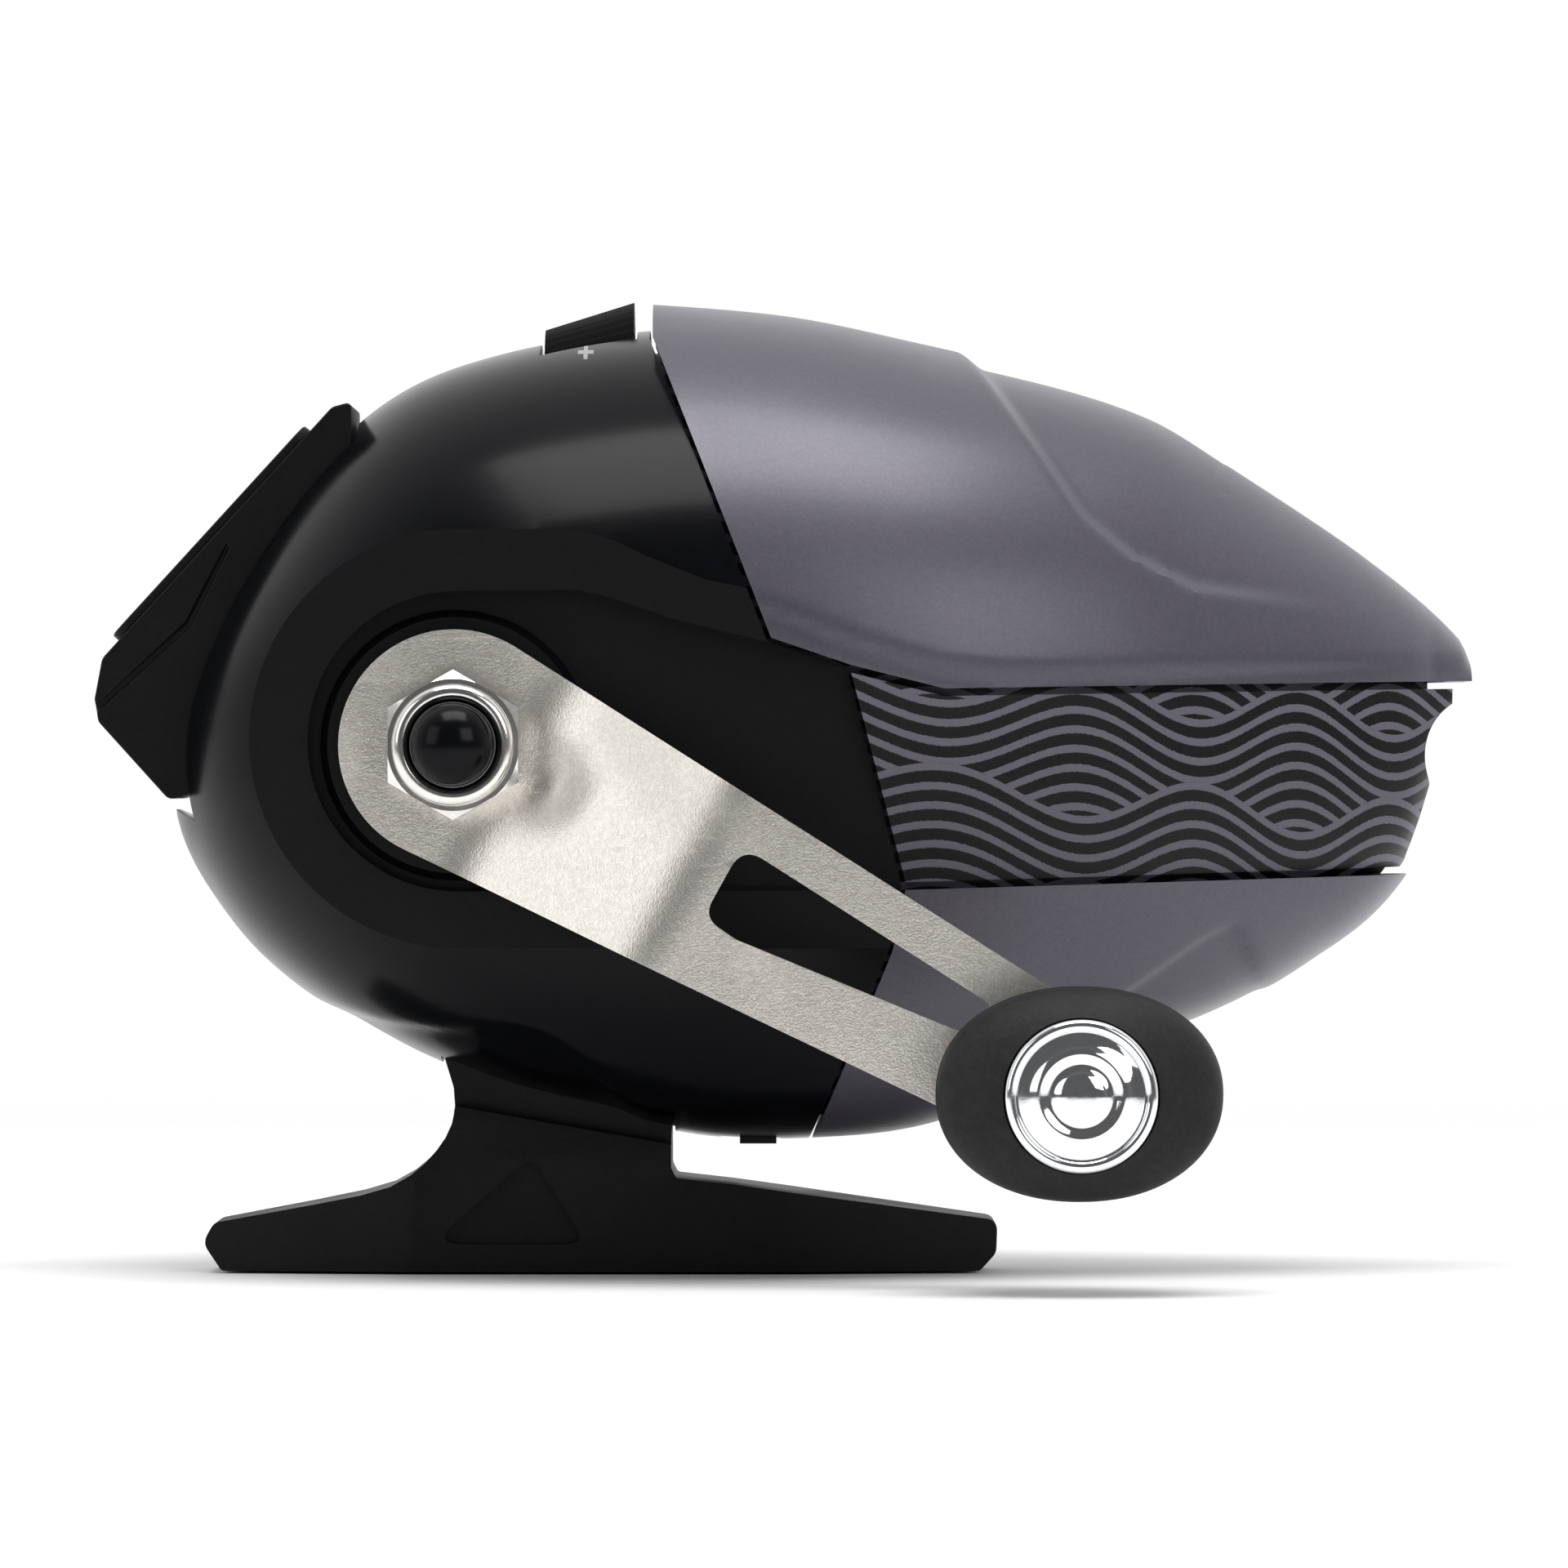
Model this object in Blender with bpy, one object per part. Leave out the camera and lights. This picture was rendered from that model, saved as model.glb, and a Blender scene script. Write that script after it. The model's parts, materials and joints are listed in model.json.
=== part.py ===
"""A spincast fishing reel, modelled as the separate pieces that come apart on a bench.

Metres, +Z up, +X towards the nose where the line leaves, crank on the -Y side.
The origin is the middle of the foot's flat sole.
"""

import math

import bmesh
import bpy
from mathutils import Matrix, Vector

# ---------------------------------------------------------------- driving dimensions
CLEARANCE = 0.0003            # between pieces that rest on or beside each other
RUNNING = 0.0001              # radial play of a shaft in its bore
ROUND_STEPS = 32              # segments of a large turned piece
SMALL_STEPS = 16              # segments of a small turned piece

AXIS_Z = 0.0415               # height of the main axis above the sole

# Casing
REAR_X = -0.0340              # rearmost point of the casing
NOSE_X = 0.0689               # tip of the upper lip
MIDDLE_Z = 0.0420             # height at which the casing is widest
SQUARENESS = 2.25             # exponent of the casing's oval sections
RING_POINTS = 28
SHELL_WALL = 0.0015
LINER_WALL = 0.0013
BAND_INSET = 0.0008           # patterned band below the grey shells
POCKET_Y = 0.0280             # flat floor of the side pocket
PLATEAU_Y = 0.0296            # flat raised border round the pocket
REAR_TOP = ((REAR_X, 0.0385), (-0.0326, 0.0456), (-0.0284, 0.0554), (-0.0193, 0.0671),
            (-0.0115, 0.0716), (0.0039, 0.0745), (0.0240, 0.0740))
FRONT_TOP = ((0.0000, 0.0769), (0.0145, 0.0757), (0.0249, 0.0736), (0.0353, 0.07105),
             (0.0431, 0.0682), (0.0483, 0.0651), (0.0561, 0.0598), (0.0639, 0.0540),
             (0.0680, 0.0502), (NOSE_X, 0.0485))
BOTTOM = ((REAR_X, 0.0385), (-0.0310, 0.0300), (-0.0268, 0.0248), (-0.0197, 0.0196),
          (-0.0120, 0.0158), (0.0067, 0.0108), (0.0170, 0.0104), (0.0270, 0.0118),
          (0.0467, 0.0193), (0.0561, 0.0243), (0.0639, 0.0312), (0.0668, 0.0400),
          (NOSE_X, 0.0458))
HALF_WIDTH = ((REAR_X, 0.0), (-0.0310, 0.0150), (-0.0240, 0.0232), (-0.0140, 0.0284),
              (0.0000, 0.0308), (0.0100, 0.0310), (0.0250, 0.0293), (0.0400, 0.0245),
              (0.0550, 0.0172), (0.0640, 0.0120), (NOSE_X, 0.0070))

# Seams of the casing, seen from the side (x, z)
REAR_SEAM = ((0.0037, 0.0820), (0.0039, 0.0736), (0.0132, 0.0495), (0.0194, 0.0474),
             (0.0236, 0.0306), (0.0226, 0.0255), (0.0165, 0.0105), (0.0145, 0.0040))
UPPER_SEAM = ((0.0132, 0.0495), (0.0194, 0.0474), (0.0269, 0.0456), (0.0720, 0.0464))
LOWER_SEAM = ((0.0236, 0.0306), (0.0720, 0.0319))
MOUTH_X, MOUTH_Z, MOUTH_RADIUS = 0.0697, 0.0408, 0.0047

# Foot and stem
FOOT_HALF_LENGTH = 0.0300
FOOT_WIDTH = 0.0180
FOOT_TIP_WIDTH = 0.0110
FOOT_TIP_HEIGHT = 0.0040
STEM_REAR_X, STEM_FRONT_X = -0.0118, 0.0056
STEM_WIDTH = 0.0140
SADDLE_REAR_X = -0.0123

# Crank and its gear train
CRANK_X = -0.0109
CRANK_RADIUS = 0.0546
CRANK_ANGLE = math.radians(-29.0)
CRANK_SHAFT_RADIUS = 0.0030
BUSHING_WALL = 0.0010
MODULE = 0.000667
GEAR_TEETH = 36
PINION_TEETH = 10
PITCH = math.pi * MODULE
GEAR_RADIUS = MODULE * GEAR_TEETH / 2
PINION_RADIUS = MODULE * PINION_TEETH / 2
TOOTH_ADDENDUM = 0.8 * MODULE
TOOTH_DEDENDUM = 1.15 * MODULE
TOOTH_FACE = 0.0024
TOOTH_SLIMNESS = 0.37         # share of the pitch that a tooth fills at the pitch line
RATCHET_TEETH = 12
RATCHET_RADIUS = 0.0075

# Main shaft, spool, spinner head and button
SHAFT_RADIUS = 0.0015
SHAFT_REAR_X, SHAFT_FRONT_X = -0.0313, 0.0300
DECK_X, DECK_WALL, DECK_RADIUS = 0.0035, 0.0025, 0.0258
HUB_RADIUS, HUB_FRONT_X = 0.0055, 0.0216
SPOOL_REAR_X, SPOOL_FRONT_X = 0.0085, 0.0200
SPOOL_REAR_RADIUS, SPOOL_FRONT_RADIUS, SPOOL_CORE_RADIUS = 0.0240, 0.0205, 0.0085
HEAD_RADIUS, HEAD_REAR_X, HEAD_FRONT_X, HEAD_WALL = 0.0225, 0.0135, 0.0260, 0.0013
PIN_X, PIN_RADIUS, PIN_REACH = 0.0225, 0.0008, 0.0012
BUTTON_PIVOT_X, BUTTON_PIVOT_Z = -0.0190, 0.0620
BUTTON_HALF_WIDTH = 0.0105
BUTTON_PIN_RADIUS = 0.0010
EAR_WALL = 0.0020
BUTTON_PAD_X = SHAFT_REAR_X - CLEARANCE

# Drag dial
DIAL_Z = 0.0648
DIAL_REAR_X, DIAL_FRONT_X = -0.00445, 0.0026
DIAL_REAR_RADIUS, DIAL_FRONT_RADIUS = 0.0098, 0.0120
DIAL_RIBS = 24
DIAL_AXLE_RADIUS = 0.0020


# ---------------------------------------------------------------- materials
def material(name, colour, roughness, metallic=0.0):
    """A Principled material."""
    made = bpy.data.materials.new(name)
    made.use_nodes = True
    shader = made.node_tree.nodes["Principled BSDF"]
    shader.inputs["Base Color"].default_value = (*colour, 1.0)
    shader.inputs["Roughness"].default_value = roughness
    shader.inputs["Metallic"].default_value = metallic
    return made


# ---------------------------------------------------------------- building blocks
def finish_mesh(bm):
    """Turn a bmesh into a mesh whose faces point outwards."""
    bmesh.ops.recalc_face_normals(bm, faces=bm.faces)
    mesh = bpy.data.meshes.new("solid")
    bm.to_mesh(mesh)
    bm.free()
    return mesh


def combine(base, tools, operation, solver="EXACT"):
    """One Boolean per tool; every mesh is in world coordinates."""
    host = bpy.data.objects.new("host", base)
    bpy.context.scene.collection.objects.link(host)
    helpers = [host]
    for tool in tools:
        helper = bpy.data.objects.new("helper", tool)
        bpy.context.scene.collection.objects.link(helper)
        step = host.modifiers.new("step", "BOOLEAN")
        step.operation = operation
        step.solver = solver
        step.object = helper
        helpers.append(helper)
    depsgraph = bpy.context.evaluated_depsgraph_get()
    result = bpy.data.meshes.new_from_object(host.evaluated_get(depsgraph))
    for helper in helpers:
        bpy.data.objects.remove(helper)
    return result


def cut(base, *tools):
    return combine(base, tools, "DIFFERENCE")


def join(base, *tools):
    return combine(base, tools, "UNION")


def common(base, *tools):
    return combine(base, tools, "INTERSECT")


def carve(base, *tools):
    """Cuts in an oval shell, where the exact solver leaves pinholes beside small cutters."""
    return combine(base, tools, "DIFFERENCE", "MANIFOLD")


def box(low, high):
    """A block between two corners."""
    bm = bmesh.new()
    size = Vector(high) - Vector(low)
    middle = (Vector(high) + Vector(low)) / 2
    bmesh.ops.create_cube(bm, size=1.0, matrix=Matrix.Translation(middle) @ Matrix.Diagonal((*size, 1)))
    return finish_mesh(bm)


def prism(outline, low_y, high_y):
    """An outline of (x, z) points pushed along Y."""
    bm = bmesh.new()
    face = bm.faces.new([bm.verts.new((x, low_y, z)) for x, z in outline])
    pushed = bmesh.ops.extrude_face_region(bm, geom=[face])
    moved = [item for item in pushed["geom"] if isinstance(item, bmesh.types.BMVert)]
    bmesh.ops.translate(bm, verts=moved, vec=(0, high_y - low_y, 0))
    return finish_mesh(bm)


def along(axis):
    """The turn that takes +Z to the named axis."""
    return {"X": Matrix.Rotation(math.pi / 2, 4, "Y"), "Y": Matrix.Rotation(-math.pi / 2, 4, "X"),
            "Z": Matrix.Identity(4)}[axis]


def turned(profile, centre, axis="X", steps=ROUND_STEPS):
    """A closed profile of (distance along the axis, radius) points spun round the axis.

    A profile that ends on the axis at both ends makes a solid; one clear of it makes a ring.
    """
    bm = bmesh.new()
    verts = [bm.verts.new((radius, 0, place)) for place, radius in profile]
    pairs = list(zip(verts, verts[1:]))
    if profile[0][1] > 0:
        pairs.append((verts[-1], verts[0]))
    edges = [bm.edges.new(pair) for pair in pairs]
    bmesh.ops.spin(bm, geom=verts + edges, axis=(0, 0, 1), cent=(0, 0, 0), angle=2 * math.pi,
                   steps=steps, use_merge=True)
    bmesh.ops.remove_doubles(bm, verts=bm.verts, dist=1e-7)
    origin = {"X": (0, centre[0], centre[1]), "Y": (centre[0], 0, centre[1]),
              "Z": (centre[0], centre[1], 0)}[axis]
    bmesh.ops.transform(bm, matrix=Matrix.Translation(origin) @ along(axis), verts=bm.verts)
    return finish_mesh(bm)


def rod(start, end, radius, centre, axis="X", steps=SMALL_STEPS):
    """A plain round bar from start to end along the axis."""
    return turned([(start, 0), (start, radius), (end, radius), (end, 0)], centre, axis, steps)


def ring(start, end, outer, inner, centre, axis="X", steps=SMALL_STEPS):
    """A plain washer or tube."""
    return turned([(start, inner), (start, outer), (end, outer), (end, inner)], centre, axis, steps)


def coil(start, end, mean_radius, wire_radius, turns, centre, axis="X"):
    """A closed round-wire helix with flat-cut ends."""
    steps = int(turns * 12)
    bm = bmesh.new()
    loops = []
    for step in range(steps + 1):
        share = step / steps
        angle = 2 * math.pi * turns * share
        place = start + wire_radius + (end - start - 2 * wire_radius) * share
        spoke = Vector((math.cos(angle), math.sin(angle), 0))
        loop = []
        for corner in range(6):
            around = 2 * math.pi * corner / 6
            point = spoke * (mean_radius + wire_radius * math.cos(around))
            point.z = place + wire_radius * math.sin(around)
            loop.append(bm.verts.new(point))
        loops.append(loop)
    edges = [[bm.edges.new((loop[i - 1], loop[i])) for i in range(6)] for loop in loops]
    for first, second in zip(edges, edges[1:]):
        bmesh.ops.bridge_loops(bm, edges=first + second)
    bm.faces.new(loops[0])
    bm.faces.new(loops[-1])
    origin = {"X": (0, centre[0], centre[1]), "Y": (centre[0], 0, centre[1])}[axis]
    bmesh.ops.transform(bm, matrix=Matrix.Translation(origin) @ along(axis), verts=bm.verts)
    return finish_mesh(bm)


def axis_empty(name, place, parent=None):
    """An empty that stands on a joint's axis."""
    empty = bpy.data.objects.new(name, None)
    empty.empty_display_size = 0.01
    bpy.context.scene.collection.objects.link(empty)
    empty.parent = parent
    empty.location = Vector(place) - (parent.matrix_world.translation if parent else Vector())
    bpy.context.view_layer.update()
    return empty


def place(name, mesh, finish, parent=None, smooth=35.0):
    """A named piece; the mesh is in world coordinates and moves to its joint's origin."""
    origin = parent.matrix_world.translation if parent else Vector()
    mesh.name = name
    mesh.transform(Matrix.Translation(-origin))
    mesh.materials.clear()
    mesh.materials.append(finish)
    mesh.shade_smooth()
    mesh.set_sharp_from_angle(angle=math.radians(smooth))
    piece = bpy.data.objects.new(name, mesh)
    bpy.context.scene.collection.objects.link(piece)
    piece.parent = parent
    return piece


# ---------------------------------------------------------------- casing surface
def curve_through(points, x):
    """The value at x of a smooth curve through (x, value) points."""
    last = len(points) - 1
    index = min(max(sum(1 for point in points if point[0] <= x) - 1, 0), last - 1)

    def slope(i):
        low, high = max(i - 1, 0), min(i + 1, last)
        return (points[high][1] - points[low][1]) / (points[high][0] - points[low][0])

    (x0, v0), (x1, v1) = points[index], points[index + 1]
    span = x1 - x0
    t = (x - x0) / span
    return ((2 * t**3 - 3 * t**2 + 1) * v0 + (t**3 - 2 * t**2 + t) * span * slope(index)
            + (3 * t**2 - 2 * t**3) * v1 + (t**3 - t**2) * span * slope(index + 1))


def blunt(points, x):
    """A curve that leaves the rear point of the casing square to the axis."""
    reach = [(math.sqrt(max(px - REAR_X, 0)), value) for px, value in points]
    return curve_through(reach, math.sqrt(max(x - REAR_X, 0)))


def rear_top(x):
    return blunt(REAR_TOP, x)


def front_top(x):
    return curve_through(FRONT_TOP, x)


def liner_top(x):
    """The liner passes under the rear casing, which is lower than the grey shell."""
    return min(front_top(x), rear_top(min(x, REAR_TOP[-1][0])))


def casing_section(x, top, inset):
    """Top, bottom, middle height and half width of the casing at x, with a wall taken off."""
    def steepness(curve):
        step = 0.0004
        low, high = max(x - step, REAR_X), min(x + step, NOSE_X)
        return min(math.hypot(1, (curve(high) - curve(low)) / (high - low)), 2.5)

    def bottom(at):
        return blunt(BOTTOM, at)

    def width(at):
        return blunt(HALF_WIDTH, at)

    high = top(x) - inset * steepness(top)
    low = bottom(x) + inset * steepness(bottom)
    half = width(x) - inset * steepness(width)
    middle = min(max(MIDDLE_Z, low + 0.35 * (high - low)), high - 0.35 * (high - low))
    return high, low, middle, max(half, 0.0004)


def casing(top, inset=0.0, start=REAR_X, end=NOSE_X):
    """The closed casing surface, lofted through oval sections along X."""
    first, last = max(start, REAR_X + inset) + 0.0003, min(end, NOSE_X - inset * 2)
    stations = 16
    bm = bmesh.new()
    previous = None
    for step in range(stations + 1):
        share = step / stations
        easing = share**1.6 if start == REAR_X else share
        x = first + (last - first) * easing
        high, low, middle, half = casing_section(x, top, inset)
        loop = []
        for corner in range(RING_POINTS):
            angle = 2 * math.pi * corner / RING_POINTS
            across, up = math.cos(angle), math.sin(angle)
            rise = high - middle if up > 0 else middle - low
            loop.append(bm.verts.new((
                x,
                half * math.copysign(abs(across) ** (2 / SQUARENESS), across),
                middle + rise * math.copysign(abs(up) ** (2 / SQUARENESS), up))))
        edges = [bm.edges.new((loop[i - 1], loop[i])) for i in range(RING_POINTS)]
        if previous:
            bmesh.ops.bridge_loops(bm, edges=previous + edges)
        else:
            bm.faces.new(loop)
        previous = edges
    bm.faces.new(loop)
    return finish_mesh(bm)


def rear_side():
    """The part of the side view that belongs to the rear casing."""
    return [(-0.0450, 0.0040), (-0.0450, 0.0820)] + list(REAR_SEAM)


def race(centre_x, centre_z, radius, corners):
    """An outline with a half circle at the rear and straight runs forward."""
    arc = [(centre_x + radius * math.cos(math.radians(angle)),
            centre_z + radius * math.sin(math.radians(angle))) for angle in range(270, 89, -12)]
    return arc + list(corners)


def both_sides(outline, floor_y):
    """Cutters that flatten both sides of the casing down to a distance from its middle."""
    return (prism(outline, -0.0450, -floor_y), prism(outline, floor_y, 0.0450))


PLATEAU_CENTRE, PLATEAU_RADIUS = (-0.0106, 0.0420), 0.0162


def plateau_outline():
    return race(*PLATEAU_CENTRE, PLATEAU_RADIUS, [
        (-0.0015, 0.0582), (0.0039, 0.0561), (0.0084, 0.0543), (0.0300, 0.0500), (0.0300, 0.0258)])


def pocket_outline():
    return race(-0.0107, 0.0418, 0.0116, [
        (-0.0015, 0.0535), (0.0057, 0.0513), (0.0131, 0.0495), (0.0300, 0.0440), (0.0300, 0.0303)])


SCREW_CIRCLE, SCREW_ANGLE = 0.0233, math.radians(30)
SCREW_SHANK_RADIUS, SCREW_HEAD_RADIUS, SCREW_HEAD_HEIGHT = 0.0010, 0.0022, 0.0015
SCREW_REAR_X = -0.0040
BOSS_RADIUS = 0.0024
WEB_WALL = 0.0030


def screw_places():
    """(y, z) of the four screws that hold the rear casing to the deck."""
    return [(math.copysign(SCREW_CIRCLE * math.cos(SCREW_ANGLE), side),
             AXIS_Z + math.copysign(SCREW_CIRCLE * math.sin(SCREW_ANGLE), level))
            for side in (-1, 1) for level in (1, -1)]


BUSHING_RADIUS = CRANK_SHAFT_RADIUS + RUNNING + BUSHING_WALL
CASING_INNER_Y = POCKET_Y - SHELL_WALL
SIDE_BUSHING_DEPTH = 0.0040
DIAL_BRACKET_REAR_X, DIAL_BRACKET_FRONT_X = -0.0088, -0.0064
LATCH_X, LATCH_LENGTH, LATCH_WIDTH, LATCH_TRAVEL = 0.0110, 0.0029, 0.0080, 0.0012
LATCH_LOW_Z, LATCH_HIGH_Z = 0.0100, 0.0119


def button_window():
    """Side view of the opening that the button moves in."""
    return [(-0.0450, 0.0366), (-0.0450, 0.0800), (-0.0192, 0.0800), (-0.0192, 0.0646),
            (-0.0162, 0.0643), (-0.0162, 0.0590), (-0.0220, 0.0560), (-0.0245, 0.0400), (-0.0265, 0.0334),
            (-0.0300, 0.0344), (-0.0318, 0.0355), (-0.0339, 0.0366)]


def screw_post(y, z):
    """Bored post for a deck screw, with a web out to the casing's wall."""
    post = rod(SCREW_REAR_X - 0.0020, DECK_X - CLEARANCE, BOSS_RADIUS, (y, z))
    web = box((SCREW_REAR_X - 0.0015, min(y, 1.6 * y), z - WEB_WALL / 2),
              (DECK_X - 2 * CLEARANCE, max(y, 1.6 * y), z + WEB_WALL / 2))
    return cut(join(post, web), rod(SCREW_REAR_X - 0.0005, DECK_X, SCREW_SHANK_RADIUS + RUNNING, (y, z), steps=12))


def rear_casing():
    """Black rear shell with flattened sides, crank boss, dial slot and button opening."""
    boss = prism(plateau_outline(), -PLATEAU_Y - 0.0002, PLATEAU_Y + 0.0002)
    outer = common(join(casing(rear_top, end=0.0300), boss), prism(rear_side(), -0.0400, 0.0400))
    outer = carve(outer, *both_sides(plateau_outline(), PLATEAU_Y), *both_sides(pocket_outline(), POCKET_Y))
    posts = [screw_post(*spot) for spot in screw_places()]
    collars = [rod(-0.0400, -CASING_INNER_Y + SIDE_BUSHING_DEPTH, BUSHING_RADIUS + 0.0018,
                   (CRANK_X, AXIS_Z), "Y"),
               rod(CASING_INNER_Y - SIDE_BUSHING_DEPTH, 0.0400, BUSHING_RADIUS + 0.0018,
                   (CRANK_X, AXIS_Z), "Y")]
    bracket = cut(box((DIAL_BRACKET_REAR_X, -0.0040, DIAL_Z - 0.0035), (DIAL_BRACKET_FRONT_X, 0.0040, 0.0800)),
                  rod(-0.0100, -0.0050, DIAL_AXLE_RADIUS + RUNNING, (0, DIAL_Z)))
    half = BUTTON_HALF_WIDTH + CLEARANCE
    ears = [box((BUTTON_PIVOT_X - 0.0024, min(side * half, side * (half + EAR_WALL)), BUTTON_PIVOT_Z - 0.0024),
                (BUTTON_PIVOT_X + 0.0024, max(side * half, side * (half + EAR_WALL)), 0.0750))
            for side in (-1, 1)]
    hollow = join(common(casing(rear_top, SHELL_WALL, end=0.0310),
                         box((-0.0500, -CASING_INNER_Y, 0.0), (0.0500, CASING_INNER_Y, 0.1000))),
                  rod(-CASING_INNER_Y, CASING_INNER_Y, PLATEAU_RADIUS - SHELL_WALL, PLATEAU_CENTRE, "Y",
                      ROUND_STEPS))
    hollow = carve(hollow, *posts, *collars, *ears, bracket)
    shell = carve(outer, hollow)
    crank_ring = rod(-POCKET_Y - 0.0008, -POCKET_Y + 0.0005, 0.0104, (CRANK_X, AXIS_Z), "Y", ROUND_STEPS)
    shell = join(shell, crank_ring)
    openings = [
        prism(button_window(), -BUTTON_HALF_WIDTH - CLEARANCE, BUTTON_HALF_WIDTH + CLEARANCE),
        rod(DIAL_REAR_X - CLEARANCE, DIAL_FRONT_X + CLEARANCE, DIAL_FRONT_RADIUS + CLEARANCE, (0, DIAL_Z),
            steps=48),
        box((SADDLE_REAR_X - CLEARANCE, -STEM_WIDTH / 2 - CLEARANCE, 0.0),
            (STEM_FRONT_X + CLEARANCE, STEM_WIDTH / 2 + CLEARANCE, 0.0230)),
        box((LATCH_X - LATCH_TRAVEL - CLEARANCE, -LATCH_WIDTH / 2 - CLEARANCE, 0.0),
            (LATCH_X + LATCH_LENGTH + CLEARANCE, LATCH_WIDTH / 2 + CLEARANCE, 0.0150)),
        rod(-0.0400, 0.0400, BUSHING_RADIUS + RUNNING, (CRANK_X, AXIS_Z), "Y"),
        rod(-half - EAR_WALL + 0.0004, half + EAR_WALL - 0.0004, BUTTON_PIN_RADIUS + RUNNING,
            (BUTTON_PIVOT_X, BUTTON_PIVOT_Z), "Y", 12),
    ]
    return carve(shell, *openings)


def upper_side():
    """Side view of the upper grey shell."""
    gap = CLEARANCE
    rear = [(x + gap, z) for x, z in REAR_SEAM[:2]]
    seam = [(x + gap if x < 0.02 else x, z + gap) for x, z in UPPER_SEAM]
    return rear + seam + [(0.0720, 0.0820)]


def lower_side():
    """Side view of the lower grey shell."""
    gap = CLEARANCE
    rear = [(x + gap, z) for x, z in REAR_SEAM[5:]]
    return [(LOWER_SEAM[0][0] + gap, LOWER_SEAM[0][1] - gap), (LOWER_SEAM[1][0], LOWER_SEAM[1][1] - gap),
            (0.0720, 0.0000)] + rear[::-1]


def band_side():
    """Side view of the patterned band between the two grey shells."""
    gap = CLEARANCE
    return [(REAR_SEAM[3][0] + gap, REAR_SEAM[3][1] - gap), (UPPER_SEAM[2][0], UPPER_SEAM[2][1] - gap),
            (UPPER_SEAM[3][0], UPPER_SEAM[3][1] - gap), (LOWER_SEAM[1][0], LOWER_SEAM[1][1] + gap),
            (LOWER_SEAM[0][0] + gap, LOWER_SEAM[0][1] + gap)]


LINER_INSET = SHELL_WALL + CLEARANCE
LINER_REAR_X = DECK_X + DECK_WALL + CLEARANCE
LINER_OUTER_Y = CASING_INNER_Y - CLEARANCE
FRONT_START = 0.0010


def grey_shell(outline):
    """One painted shell of the front cover."""
    outer = common(casing(front_top, start=FRONT_START), prism(outline, -0.0400, 0.0400))
    return cut(outer, casing(front_top, SHELL_WALL, start=FRONT_START - 0.0005))


GUIDE_OUTER_RADIUS, GUIDE_INNER_RADIUS = 0.0052, 0.0034
GUIDE_REAR_X, GUIDE_FRONT_X = 0.0612, 0.0647


def nose_cover():
    """The inner front cover: a liner under the grey shells and the band that shows between them."""
    liner = common(casing(liner_top, LINER_INSET, start=FRONT_START),
                   box((LINER_REAR_X, -0.0400, 0.0), (0.0800, 0.0400, 0.1000)))
    flats = (box((0.0, -0.0500, 0.0), (0.0250, -LINER_OUTER_Y, 0.1000)),
             box((0.0, LINER_OUTER_Y, 0.0), (0.0250, 0.0500, 0.1000)))
    liner = cut(liner, *flats)
    band = common(casing(front_top, BAND_INSET, start=FRONT_START), prism(band_side(), -0.0400, 0.0400))
    cover = join(liner, band)
    hollow = cut(casing(liner_top, LINER_INSET + LINER_WALL, start=FRONT_START - 0.0005, end=0.0655),
                 box((0.0, -0.0500, 0.0), (0.0252, -LINER_OUTER_Y + LINER_WALL, 0.1000)),
                 box((0.0, LINER_OUTER_Y - LINER_WALL, 0.0), (0.0252, 0.0500, 0.1000)))
    mouth = rod(-0.0400, 0.0400, MOUTH_RADIUS, (MOUTH_X, MOUTH_Z), "Y", ROUND_STEPS)
    hole = rod(0.0500, 0.0800, GUIDE_OUTER_RADIUS + RUNNING, (0, AXIS_Z), steps=ROUND_STEPS)
    return carve(cover, hollow, mouth, hole)


def line_guide():
    """Smooth ring that the line runs through at the nose."""
    middle = (GUIDE_INNER_RADIUS + GUIDE_OUTER_RADIUS) / 2
    half = (GUIDE_OUTER_RADIUS - GUIDE_INNER_RADIUS) / 2
    lip = [(GUIDE_FRONT_X - half + half * math.sin(math.radians(angle)),
            middle - half * math.cos(math.radians(angle))) for angle in range(0, 181, 30)]
    return turned([(GUIDE_REAR_X, GUIDE_INNER_RADIUS)] + lip + [(GUIDE_REAR_X, GUIDE_OUTER_RADIUS)],
                  (0, AXIS_Z), steps=20)


# ---------------------------------------------------------------- frame
DECK_BUSHING_WALL = 0.0011
PINION_SLEEVE_RADIUS = 0.0026
DECK_BUSHING_RADIUS = PINION_SLEEVE_RADIUS + RUNNING + DECK_BUSHING_WALL
CLIP_GROOVE_X, CLIP_THICKNESS, CLIP_GROOVE_RADIUS = 0.0204, 0.0008, 0.0047
BRACKET_OUTER_Y, BRACKET_WALL = -0.0170, 0.0025
PAWL_X, PAWL_Z, PAWL_PIN_RADIUS = -0.0033, 0.0520, 0.0012
PLUNGER_RADIUS = 0.0013
REAR_GUIDE_X, REAR_GUIDE_WALL = -0.0260, 0.0016


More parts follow.
